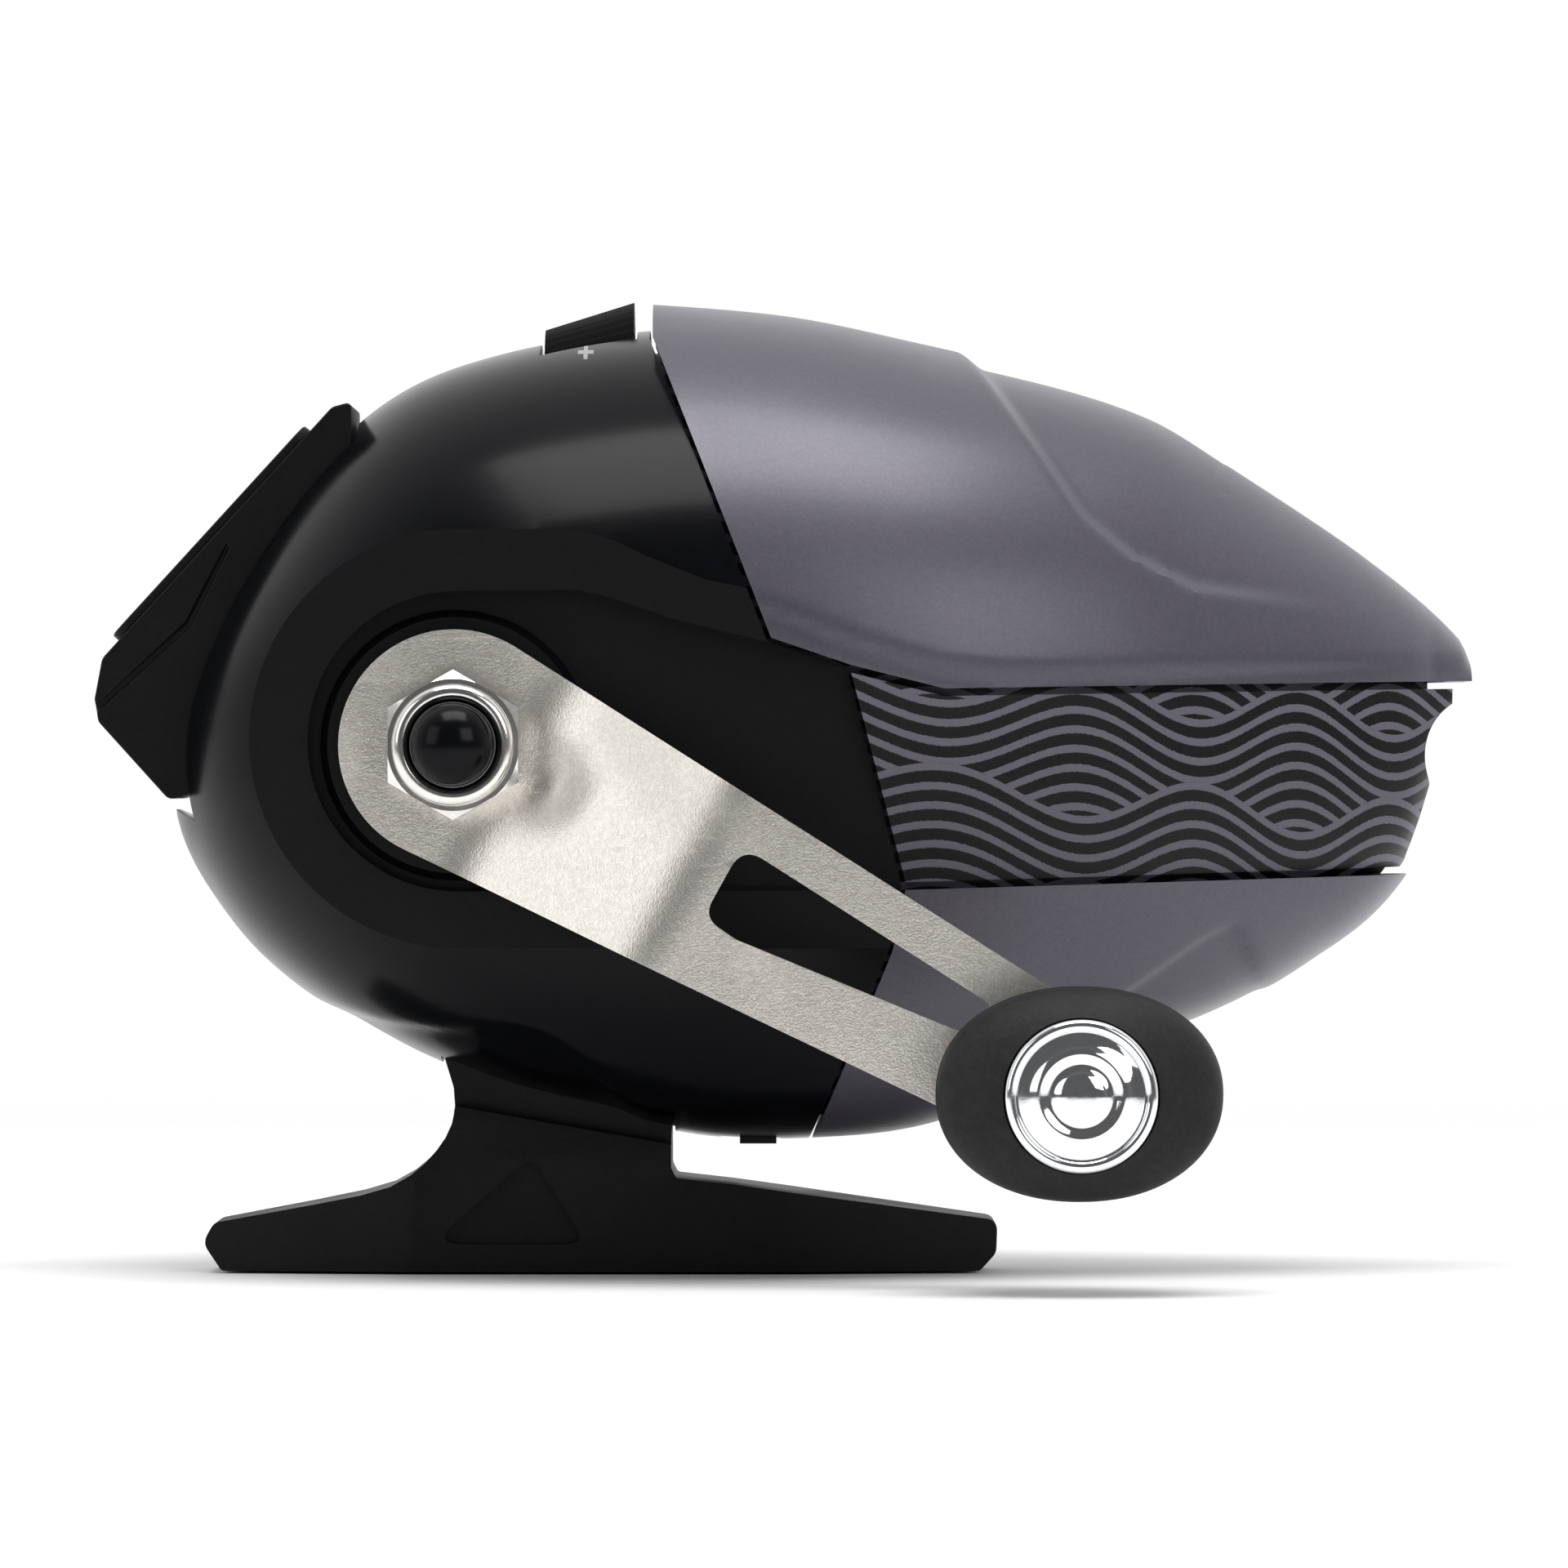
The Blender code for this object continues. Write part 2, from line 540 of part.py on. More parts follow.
def foot_solid():
    """The foot, from the side and from above, with a three-sided recess in each flank."""
    side = prism([
        (-FOOT_HALF_LENGTH, 0), (FOOT_HALF_LENGTH, 0), (FOOT_HALF_LENGTH + 0.0015, 0.0022),
        (FOOT_HALF_LENGTH + 0.0012, FOOT_TIP_HEIGHT), (0.0145, 0.0063), (STEM_FRONT_X + 0.0008, 0.0074),
        (STEM_FRONT_X, 0.0090), (STEM_REAR_X - 0.0002, 0.0112), (STEM_REAR_X - 0.0010, 0.0097),
        (-0.0140, 0.0085), (-0.0152, 0.0075), (-0.0167, 0.0068), (-0.0220, 0.0057),
        (-FOOT_HALF_LENGTH - 0.0005, FOOT_TIP_HEIGHT),
        (-FOOT_HALF_LENGTH - 0.0016, 0.0028)], -FOOT_WIDTH / 2, FOOT_WIDTH / 2)
    reach, wide, tip = FOOT_HALF_LENGTH + 0.0030, FOOT_WIDTH / 2 + 0.0002, FOOT_TIP_WIDTH / 2
    plan = [(-reach, -tip), (-0.0160, -wide), (0.0160, -wide), (reach, -tip),
            (reach, tip), (0.0160, wide), (-0.0160, wide), (-reach, tip)]
    bm = bmesh.new()
    face = bm.faces.new([bm.verts.new((x, y, -0.0010)) for x, y in plan])
    pushed = bmesh.ops.extrude_face_region(bm, geom=[face])
    bmesh.ops.translate(bm, vec=(0, 0, 0.0140),
                        verts=[v for v in pushed["geom"] if isinstance(v, bmesh.types.BMVert)])
    return common(side, finish_mesh(bm))


def frame():
    """Foot, stem, deck with the spool hub, gear bracket and rear shaft guide in one casting."""
    bore = DECK_BUSHING_RADIUS + RUNNING
    groove_end = CLIP_GROOVE_X + CLIP_THICKNESS + 0.0002
    deck = turned([
        (DECK_X, bore), (DECK_X, DECK_RADIUS), (DECK_X + DECK_WALL, DECK_RADIUS),
        (DECK_X + DECK_WALL, HUB_RADIUS), (CLIP_GROOVE_X, HUB_RADIUS), (CLIP_GROOVE_X, CLIP_GROOVE_RADIUS),
        (groove_end, CLIP_GROOVE_RADIUS), (groove_end, HUB_RADIUS), (HUB_FRONT_X, HUB_RADIUS),
        (HUB_FRONT_X, bore)], (0, AXIS_Z))
    stem = prism([
        (STEM_REAR_X, 0.0040), (STEM_FRONT_X, 0.0040), (STEM_FRONT_X, 0.0200),
        (SADDLE_REAR_X, 0.0220), (SADDLE_REAR_X, 0.0165), (STEM_REAR_X + 0.0002, 0.0145),
        (STEM_REAR_X + 0.0003, 0.0130), (STEM_REAR_X, 0.0118)],
        -STEM_WIDTH / 2, STEM_WIDTH / 2)
    rear, front = REAR_GUIDE_X, REAR_GUIDE_X + REAR_GUIDE_WALL
    rib = prism([
        (DECK_X + 0.0010, 0.0180), (DECK_X + 0.0010, 0.0265), (-0.0110, 0.0265), (-0.0190, 0.0285),
        (front, 0.0345), (front, 0.0470), (rear, 0.0470), (rear, 0.0305), (-0.0190, 0.0245),
        (-0.0135, 0.0213), (-0.0118, 0.0205), (-0.0118, 0.0180)], -0.0060, 0.0060)
    bracket = prism([
        (DECK_X + 0.0010, 0.0340), (DECK_X + 0.0010, 0.0555), (-0.0085, 0.0555), (-0.0130, 0.0490),
        (-0.0195, 0.0490), (-0.0195, 0.0340)], BRACKET_OUTER_Y, BRACKET_OUTER_Y + BRACKET_WALL)
    body = join(foot_solid(), stem, rib, bracket, deck)
    recess = [(-0.0121, 0.0025), (-0.0021, 0.0025), (-0.0054, 0.0082)]
    half, depth = FOOT_WIDTH / 2, 0.0008
    holes = [
        prism(recess, -half - 0.0010, -half + depth), prism(recess, half - depth, half + 0.0010),
        rod(BRACKET_OUTER_Y - 0.0010, BRACKET_OUTER_Y + BRACKET_WALL + 0.0010,
            BUSHING_RADIUS + RUNNING, (CRANK_X, AXIS_Z), "Y"),
        rod(BRACKET_OUTER_Y - 0.0010, BRACKET_OUTER_Y + BRACKET_WALL + 0.0010,
            PAWL_PIN_RADIUS + RUNNING, (PAWL_X, PAWL_Z), "Y", 12),
        rod(rear - 0.0010, front + 0.0010, SHAFT_RADIUS + RUNNING, (0, AXIS_Z)),
        rod(DECK_X - 0.0010, DECK_X + DECK_WALL + 0.0010, PLUNGER_RADIUS + 2 * RUNNING, (0, DIAL_Z)),
    ]
    holes += [rod(DECK_X - 0.0010, DECK_X + DECK_WALL + 0.0010, SCREW_SHANK_RADIUS + 2 * RUNNING, spot,
                  steps=12) for spot in screw_places()]
    return cut(body, *holes)


# ---------------------------------------------------------------- gear train
def crown_gear():
    """Face gear whose teeth point across the reel at the pinion."""
    pitch_y = -PINION_RADIUS
    root_y, tip_y = pitch_y - TOOTH_DEDENDUM, pitch_y + TOOTH_ADDENDUM
    outer = GEAR_RADIUS + TOOTH_FACE / 2
    web_y, hub_y = root_y - 0.0020, root_y - 0.0036
    bore = CRANK_SHAFT_RADIUS + RUNNING
    body = turned([(hub_y, bore), (hub_y, 0.0055), (web_y, 0.0055), (web_y, outer), (root_y, outer),
                   (root_y, bore)], (CRANK_X, AXIS_Z), "Y", 36)
    thick = TOOTH_SLIMNESS * PITCH
    slope = math.tan(math.radians(20))
    bm = bmesh.new()
    for tooth in range(GEAR_TEETH):
        spin = Matrix.Rotation(2 * math.pi * tooth / GEAR_TEETH, 4, "Y")
        loops = []
        for radius in (GEAR_RADIUS - TOOTH_FACE / 2, outer - 0.0001):
            corners = []
            for y, side in ((root_y - 0.0004, -1), (tip_y, -1), (tip_y, 1), (root_y - 0.0004, 1)):
                half = thick / 2 + (pitch_y - y) * slope
                point = spin @ Vector((radius, y, side * half))
                corners.append(bm.verts.new(point + Vector((CRANK_X, 0, AXIS_Z))))
            loops.append(corners)
        bm.faces.new(loops[0])
        bm.faces.new(loops[1][::-1])
        for i in range(4):
            bm.faces.new((loops[0][i - 1], loops[0][i], loops[1][i], loops[1][i - 1]))
    return join(body, finish_mesh(bm))


PINION_REAR_X = CRANK_X + GEAR_RADIUS - 0.0019
PINION_TEETH_FRONT_X = DECK_X - 0.0009


def pinion():
    """Ten-tooth gear with the sleeve that runs in the deck bushing; the shaft slides in its bore."""
    thick = TOOTH_SLIMNESS * PITCH
    root, tip = PINION_RADIUS - TOOTH_DEDENDUM, PINION_RADIUS + TOOTH_ADDENDUM
    outline = []
    for tooth in range(PINION_TEETH):
        middle = 2 * math.pi * (tooth + 0.5) / PINION_TEETH + math.pi
        for radius, half in ((root, 0.72 * thick), (PINION_RADIUS, thick / 2), (tip, 0.25 * thick)):
            outline.append((radius, middle - half / radius))
        for radius, half in ((tip, 0.25 * thick), (PINION_RADIUS, thick / 2), (root, 0.72 * thick)):
            outline.append((radius, middle + half / radius))
    bm = bmesh.new()
    face = bm.faces.new([bm.verts.new((PINION_REAR_X, r * math.cos(a), AXIS_Z + r * math.sin(a)))
                         for r, a in outline])
    pushed = bmesh.ops.extrude_face_region(bm, geom=[face])
    bmesh.ops.translate(bm, vec=(PINION_TEETH_FRONT_X - PINION_REAR_X, 0, 0),
                        verts=[v for v in pushed["geom"] if isinstance(v, bmesh.types.BMVert)])
    sleeve = rod(PINION_TEETH_FRONT_X - 0.0005, DECK_X + DECK_WALL + 0.0030, PINION_SLEEVE_RADIUS, (0, AXIS_Z))
    bore = rod(-0.0100, 0.0200, SHAFT_RADIUS + RUNNING, (0, AXIS_Z))
    return cut(join(finish_mesh(bm), sleeve), bore)


RATCHET_Y, RATCHET_WIDTH = -0.0125, 0.0020
RATCHET_ROOT = 0.0058
PAWL_LIFT = math.radians(14.0)


def ratchet():
    """Saw-toothed wheel of the anti-reverse."""
    outline = []
    for tooth in range(RATCHET_TEETH):
        face_angle = 2 * math.pi * tooth / RATCHET_TEETH - math.radians(2.0)
        outline += [(RATCHET_RADIUS, face_angle), (RATCHET_ROOT, face_angle)]
    points = [(CRANK_X + r * math.cos(a), AXIS_Z + r * math.sin(a)) for r, a in outline]
    wheel = prism(points, RATCHET_Y, RATCHET_Y + RATCHET_WIDTH)
    return cut(wheel, rod(-0.0200, 0.0, CRANK_SHAFT_RADIUS + RUNNING, (CRANK_X, AXIS_Z), "Y"))


def pawl():
    """Catch of the anti-reverse, held clear of the ratchet."""
    edge_x = CRANK_X + RATCHET_RADIUS - 0.0007
    low_z = AXIS_Z + 0.0001
    wide = 0.0018
    arm = prism([(edge_x, low_z), (edge_x + wide, low_z), (edge_x + wide, PAWL_Z), (edge_x, PAWL_Z)],
                RATCHET_Y, RATCHET_Y + RATCHET_WIDTH)
    hub = rod(RATCHET_Y, RATCHET_Y + RATCHET_WIDTH, 0.0024, (PAWL_X, PAWL_Z), "Y")
    bore = rod(-0.0200, 0.0, PAWL_PIN_RADIUS + RUNNING, (PAWL_X, PAWL_Z), "Y", 12)
    catch = cut(join(arm, hub), bore)
    pivot = Vector((PAWL_X, 0, PAWL_Z))
    catch.transform(Matrix.Translation(pivot) @ Matrix.Rotation(-PAWL_LIFT, 4, "Y")
                    @ Matrix.Translation(-pivot))
    return catch


# ---------------------------------------------------------------- spool and spinner head
def spool():
    """Line spool that turns on the hub of the deck."""
    bore = HUB_RADIUS + 0.0002
    return turned([
        (SPOOL_REAR_X, bore), (SPOOL_REAR_X, SPOOL_REAR_RADIUS), (SPOOL_REAR_X + 0.0012, SPOOL_REAR_RADIUS),
        (SPOOL_REAR_X + 0.0018, SPOOL_CORE_RADIUS), (SPOOL_FRONT_X - 0.0018, SPOOL_CORE_RADIUS),
        (SPOOL_FRONT_X - 0.0012, SPOOL_FRONT_RADIUS), (SPOOL_FRONT_X, SPOOL_FRONT_RADIUS),
        (SPOOL_FRONT_X, bore)], (0, AXIS_Z))


def spool_clip():
    """Open retaining ring in the groove of the hub."""
    hoop = ring(CLIP_GROOVE_X + RUNNING, CLIP_GROOVE_X + RUNNING + CLIP_THICKNESS, 0.0072,
                CLIP_GROOVE_RADIUS + RUNNING, (0, AXIS_Z))
    gap = box((CLIP_GROOVE_X - 0.0010, -0.0022, AXIS_Z - 0.0100), (HUB_FRONT_X, 0.0022, AXIS_Z - 0.0030))
    return cut(hoop, gap)


def spinner_head():
    """Cup that turns round the front of the spool and carries the pick-up pins."""
    inner = HEAD_RADIUS - HEAD_WALL
    cup = turned([
        (HEAD_REAR_X, inner), (HEAD_REAR_X, HEAD_RADIUS), (HEAD_FRONT_X - 0.0025, HEAD_RADIUS),
        (HEAD_FRONT_X - 0.0008, HEAD_RADIUS - 0.0015), (HEAD_FRONT_X, HEAD_RADIUS - 0.0045),
        (HEAD_FRONT_X, SHAFT_RADIUS + RUNNING), (HEAD_FRONT_X - 0.0035, SHAFT_RADIUS + RUNNING),
        (HEAD_FRONT_X - 0.0035, 0.0050), (HEAD_FRONT_X - 0.0016, 0.0055),
        (HEAD_FRONT_X - 0.0016, inner - 0.0030), (HEAD_FRONT_X - 0.0030, inner)], (0, AXIS_Z))
    lugs = [box((PIN_X - 0.0014, -0.0018, AXIS_Z + min(side * 0.0125, side * 0.0155)),
                (HEAD_FRONT_X - 0.0012, 0.0018, AXIS_Z + max(side * 0.0125, side * 0.0155)))
            for side in (-1, 1)]
    tunnels = [rod(AXIS_Z + min(side * 0.0110, side * 0.0300), AXIS_Z + max(side * 0.0110, side * 0.0300),
                   PIN_RADIUS + RUNNING, (PIN_X, 0), "Z", 12) for side in (-1, 1)]
    return carve(join(cup, *lugs), *tunnels)


def pickup_pin(side):
    """Hard pin that catches the line at the rim of the spinner head."""
    low, high = 0.0105, HEAD_RADIUS + PIN_REACH
    return rod(AXIS_Z + min(side * low, side * high), AXIS_Z + max(side * low, side * high),
               PIN_RADIUS, (PIN_X, 0), "Z", 12)


def centre_shaft():
    """Shaft from the button to the spinner head, with a domed rear end and a spring collar."""
    collar_x = -0.0096
    return turned([
        (SHAFT_REAR_X, 0), (SHAFT_REAR_X + 0.0002, 0.0009), (SHAFT_REAR_X + 0.0008, SHAFT_RADIUS),
        (collar_x, SHAFT_RADIUS), (collar_x, 0.0024), (collar_x + 0.0008, 0.0024),
        (collar_x + 0.0008, SHAFT_RADIUS), (SHAFT_FRONT_X, SHAFT_RADIUS), (SHAFT_FRONT_X, 0)], (0, AXIS_Z))


# ---------------------------------------------------------------- button and dial
def thumb_button():
    """Wedge-shaped button that swings on the pin at its top edge and pushes the shaft."""
    half = BUTTON_HALF_WIDTH
    wedge = prism([
        (-0.0399, 0.0456), (-0.0392, 0.0484), (-0.0211, 0.0682), (-0.0196, 0.0686), (-0.0196, 0.0641),
        (-0.0170, 0.0636), (-0.0168, 0.0604), (-0.0195, 0.0596), (-0.0235, 0.0555), (-0.0284, 0.0500),
        (-0.0302, 0.0440), (-0.0308, 0.0384), (-0.0339, 0.0372), (-0.03955, 0.0434)], -half, half)
    seat = box((BUTTON_PAD_X, -0.0025, 0.0300), (0.0, 0.0025, AXIS_Z + 0.0045))
    bore = rod(-0.0200, 0.0200, BUTTON_PIN_RADIUS + RUNNING, (BUTTON_PIVOT_X, BUTTON_PIVOT_Z), "Y", 12)
    return cut(wedge, seat, bore)


def drag_dial():
    """Ribbed wheel that sets the drag; only its top shows through the casing."""
    steps = DIAL_RIBS * 2
    bm = bmesh.new()
    loops = []
    for x, radius in ((DIAL_REAR_X, DIAL_REAR_RADIUS), (DIAL_FRONT_X, DIAL_FRONT_RADIUS)):
        loops.append([bm.verts.new((
            x, (radius - (0.0005 if step % 2 else 0)) * math.cos(2 * math.pi * step / steps),
            DIAL_Z + (radius - (0.0005 if step % 2 else 0)) * math.sin(2 * math.pi * step / steps)))
            for step in range(steps)])
    bm.faces.new(loops[0])
    bm.faces.new(loops[1])
    for i in range(steps):
        bm.faces.new((loops[0][i - 1], loops[0][i], loops[1][i], loops[1][i - 1]))
    return cut(finish_mesh(bm), rod(-0.0100, 0.0100, DIAL_AXLE_RADIUS + RUNNING, (0, DIAL_Z)))


# ---------------------------------------------------------------- crank
ARM_INNER_Y, ARM_WALL, ARM_STEP = -0.0334, 0.0022, 0.0068
ARM_HUB_RADIUS, ARM_TIP_RADIUS = 0.0089, 0.0056
ARM_BEND_START, ARM_BEND_END = 0.0054, 0.0203
KNOB_LENGTH, KNOB_WIDTH, KNOB_HEIGHT = 0.0150, 0.0216, 0.0162
KNOB_POST_RADIUS = 0.0025
KNOB_INNER_Y = ARM_INNER_Y - ARM_STEP - 0.0012
KNOB_OUTER_Y = KNOB_INNER_Y - KNOB_LENGTH
KNOB_CAP_RADIUS = 0.0058
KNOB_X = CRANK_X + CRANK_RADIUS * math.cos(CRANK_ANGLE)
KNOB_Z = AXIS_Z + CRANK_RADIUS * math.sin(CRANK_ANGLE)
SHAFT_OUTER_Y = -0.0368


def crank_arm():
    """Pressed steel arm: round hub, a step outwards, a tapered slot and a round tip."""
    length = CRANK_RADIUS
    lean = math.asin((ARM_HUB_RADIUS - ARM_TIP_RADIUS) / length)
    hub = [(ARM_HUB_RADIUS * math.cos(a), ARM_HUB_RADIUS * math.sin(a)) for a in
           (math.pi / 2 - lean + (math.pi + 2 * lean) * i / 20 for i in range(21))]
    tip = [(length + ARM_TIP_RADIUS * math.cos(a), ARM_TIP_RADIUS * math.sin(a)) for a in
           (-math.pi / 2 + lean + (math.pi - 2 * lean) * i / 14 for i in range(15))]
    plate = prism(hub + tip, ARM_INNER_Y, ARM_INNER_Y + ARM_WALL)
    slot = [(0.0232, 0.0010), (0.0234, 0.0028), (0.0244, 0.0037), (0.0258, 0.0039), (0.0446, 0.0027),
            (0.0456, 0.0020), (0.0458, 0.0008), (0.0448, 0.0000), (0.0262, -0.0022), (0.0246, -0.0022),
            (0.0236, -0.0012)]
    hole = rod(-0.0500, 0.0, CRANK_SHAFT_RADIUS + RUNNING, (0, 0), "Y")
    plate = cut(plate, prism(slot, -0.0500, 0.0), hole)
    bm = bmesh.new()
    bm.from_mesh(plate)
    for bend in (ARM_BEND_START, ARM_BEND_END):
        bmesh.ops.bisect_plane(bm, geom=bm.verts[:] + bm.edges[:] + bm.faces[:], dist=1e-6,
                               plane_co=(bend, 0, 0), plane_no=(1, 0, 0))
    for vert in bm.verts:
        share = (vert.co.x - ARM_BEND_START) / (ARM_BEND_END - ARM_BEND_START)
        vert.co.y -= ARM_STEP * min(max(share, 0), 1)
    bmesh.ops.triangulate(bm, faces=bm.faces)
    bmesh.ops.transform(bm, verts=bm.verts, matrix=Matrix.Translation((CRANK_X, 0, AXIS_Z))
                        @ Matrix.Rotation(-CRANK_ANGLE, 4, "Y"))
    return finish_mesh(bm)


def crank_shaft():
    """Stepped shaft from the crank nut to the crown gear."""
    inner_y = -PINION_RADIUS - TOOTH_DEDENDUM - 0.0001
    return rod(SHAFT_OUTER_Y, inner_y, CRANK_SHAFT_RADIUS, (CRANK_X, AXIS_Z), "Y")


NUT_FLATS, NUT_HEIGHT = 0.0100, 0.0030
NUT_INNER_Y = ARM_INNER_Y - RUNNING
DOME_RADIUS = CRANK_SHAFT_RADIUS + 0.0002


def crank_nut():
    """Flanged hexagon nut with a round collar round its dome."""
    outer_y = NUT_INNER_Y - NUT_HEIGHT
    hexagon = turned([(outer_y, 0), (outer_y, NUT_FLATS / math.sqrt(3)), (NUT_INNER_Y, NUT_FLATS / math.sqrt(3)),
                      (NUT_INNER_Y, 0)], (CRANK_X, AXIS_Z), "Y", 6)
    centre = Matrix.Translation((CRANK_X, 0, AXIS_Z))
    hexagon.transform(centre @ Matrix.Rotation(math.radians(30), 4, "Y") @ centre.inverted())
    collar = rod(outer_y - 0.0014, outer_y + 0.0005, 0.0047, (CRANK_X, AXIS_Z), "Y", 24)
    bore = rod(SHAFT_OUTER_Y - CLEARANCE, 0.0, CRANK_SHAFT_RADIUS + RUNNING, (CRANK_X, AXIS_Z), "Y")
    seat = rod(-0.0500, SHAFT_OUTER_Y - CLEARANCE + 0.0001, DOME_RADIUS + RUNNING, (CRANK_X, AXIS_Z), "Y")
    return cut(join(hexagon, collar), bore, seat)


def nut_dome():
    """Glossy dome that plugs the nut."""
    start = SHAFT_OUTER_Y - 2 * CLEARANCE
    crown = [(start - 0.0010 - 0.0024 * math.sin(math.radians(a)), DOME_RADIUS * math.cos(math.radians(a)))
             for a in range(0, 90, 18)]
    return turned([(start, 0), (start, DOME_RADIUS)] + crown + [(start - 0.0034, 0)],
                  (CRANK_X, AXIS_Z), "Y", 24)


def knob_section(share):
    """Width and height of the knob at a share of its length from the arm."""
    swell = 0.78 + 0.22 * math.sin(math.pi * min(max(0.10 + 0.72 * share, 0), 1)) ** 0.8
    ends = min(1.0, (1 - share) / 0.10 + 0.55) if share > 0.955 else 1.0
    return KNOB_WIDTH / 2 * swell * ends, KNOB_HEIGHT / 2 * swell * ends


def knob_grip():
    """Soft oval knob that spins on its post, with a seat for the cap."""
    bm = bmesh.new()
    previous = None
    for share in (0.0, 0.06, 0.2, 0.4, 0.6, 0.8, 0.93, 1.0):
        half_width, half_height = knob_section(share)
        taper = 0.9 if share in (0.0, 1.0) else 1.0
        y = KNOB_INNER_Y - KNOB_LENGTH * share
        loop = [bm.verts.new((KNOB_X + taper * half_width * math.cos(2 * math.pi * i / 28), y,
                              KNOB_Z + taper * half_height * math.sin(2 * math.pi * i / 28)))
                for i in range(28)]
        edges = [bm.edges.new((loop[i - 1], loop[i])) for i in range(28)]
        if previous:
            bmesh.ops.bridge_loops(bm, edges=previous + edges)
        else:
            bm.faces.new(loop)
        previous = edges
    bm.faces.new(loop)
    seat = rod(KNOB_OUTER_Y - 0.0010, KNOB_OUTER_Y + 0.0012, KNOB_CAP_RADIUS + RUNNING, (KNOB_X, KNOB_Z), "Y", 28)
    bore = rod(KNOB_OUTER_Y, 0.0, KNOB_POST_RADIUS + RUNNING, (KNOB_X, KNOB_Z), "Y")
    return cut(finish_mesh(bm), seat, bore)


def knob_cap():
    """Bright cap in the end of the knob."""
    low = KNOB_OUTER_Y + 0.0012 - CLEARANCE
    return turned([(low, 0), (low, KNOB_CAP_RADIUS), (low - 0.0010, KNOB_CAP_RADIUS),
                   (low - 0.0014, KNOB_CAP_RADIUS - 0.0005), (low - 0.0016, 0)], (KNOB_X, KNOB_Z), "Y", 28)


def knob_post():
    """Rivet through the tip of the arm that the knob spins on."""
    return rod(KNOB_OUTER_Y + 0.0012 + CLEARANCE, ARM_INNER_Y - ARM_STEP - CLEARANCE, KNOB_POST_RADIUS,
               (KNOB_X, KNOB_Z), "Y")


# ---------------------------------------------------------------- assembly
def main():
    """Build every piece and hang the moving ones on their joint axes."""
    for item in list(bpy.data.objects):
        bpy.data.objects.remove(item)

    gloss = material("gloss_black", (0.010, 0.011, 0.014), 0.22)
    matte = material("matte_black", (0.014, 0.014, 0.016), 0.55)
    grey = material("grey_paint", (0.130, 0.120, 0.150), 0.38, 0.4)
    steel = material("plated_steel", (0.62, 0.59, 0.54), 0.32, 1.0)
    chrome = material("chrome", (0.80, 0.82, 0.85), 0.08, 1.0)
    rubber = material("soft_rubber", (0.020, 0.020, 0.021), 0.75)
    brass = material("bushing_bronze", (0.56, 0.38, 0.17), 0.35, 1.0)
    alloy = material("spool_alloy", (0.55, 0.56, 0.58), 0.35, 1.0)
    felt = material("drag_felt", (0.30, 0.27, 0.22), 0.95)

    main_axis = (0, AXIS_Z)
    crank_axis = (CRANK_X, AXIS_Z)

    place("frame", frame(), matte)
    place("rear_casing", rear_casing(), gloss)
    place("front_shell_upper", grey_shell(upper_side()), grey)
    place("front_shell_lower", grey_shell(lower_side()), grey)
    place("nose_cover", nose_cover(), matte)
    place("line_guide", line_guide(), chrome)
    for number, spot in enumerate(screw_places(), 1):
        head_x = DECK_X + DECK_WALL + CLEARANCE
        screw = join(rod(SCREW_REAR_X, head_x + 0.0001, SCREW_SHANK_RADIUS, spot, steps=12),
                     rod(head_x, head_x + SCREW_HEAD_HEIGHT, SCREW_HEAD_RADIUS, spot, steps=16))
        place(f"deck_screw_{number}", screw, steel)
    place("deck_bushing", ring(DECK_X - 0.0002, DECK_X + DECK_WALL + 0.0025, DECK_BUSHING_RADIUS,
                               PINION_SLEEVE_RADIUS + RUNNING, main_axis), brass)
    place("gear_bushing", ring(BRACKET_OUTER_Y, BRACKET_OUTER_Y + BRACKET_WALL, BUSHING_RADIUS,
                               CRANK_SHAFT_RADIUS + RUNNING, crank_axis, "Y"), brass)
    place("side_bushing", ring(-POCKET_Y - 0.0008, -CASING_INNER_Y + SIDE_BUSHING_DEPTH, BUSHING_RADIUS,
                               CRANK_SHAFT_RADIUS + RUNNING, crank_axis, "Y"), brass)
    place("side_plug", join(
        rod(CASING_INNER_Y - SIDE_BUSHING_DEPTH, POCKET_Y + 0.0005, BUSHING_RADIUS, crank_axis, "Y"),
        turned([(POCKET_Y + CLEARANCE, 0), (POCKET_Y + CLEARANCE, 0.0070), (POCKET_Y + 0.0011, 0.0070),
                (POCKET_Y + 0.0015, 0.0062), (POCKET_Y + 0.0015, 0)], crank_axis, "Y")), matte)
    pin_reach = BUTTON_HALF_WIDTH + CLEARANCE + EAR_WALL - 0.0006
    place("button_pin", rod(-pin_reach, pin_reach, BUTTON_PIN_RADIUS, (BUTTON_PIVOT_X, BUTTON_PIVOT_Z),
                            "Y", 12), steel)
    place("dial_axle", rod(DIAL_BRACKET_REAR_X - 0.0003, DIAL_FRONT_X - 0.0003, DIAL_AXLE_RADIUS,
                           (0, DIAL_Z)), steel)
    place("pawl_pin", rod(BRACKET_OUTER_Y, RATCHET_Y + RATCHET_WIDTH + 0.0004, PAWL_PIN_RADIUS,
                          (PAWL_X, PAWL_Z), "Y", 12), steel)
    place("drag_washer", ring(DECK_X + DECK_WALL + CLEARANCE, 0.0072, 0.0120, HUB_RADIUS + 0.0002,
                              main_axis), felt)
    place("drag_plate", ring(0.0075, SPOOL_REAR_X - CLEARANCE, 0.0125, HUB_RADIUS + 0.0002, main_axis), steel)
    place("spool_clip", spool_clip(), steel)

    spool_axis = axis_empty("spool_axis", (SPOOL_REAR_X, 0, AXIS_Z))
    place("spool", spool(), alloy, spool_axis)

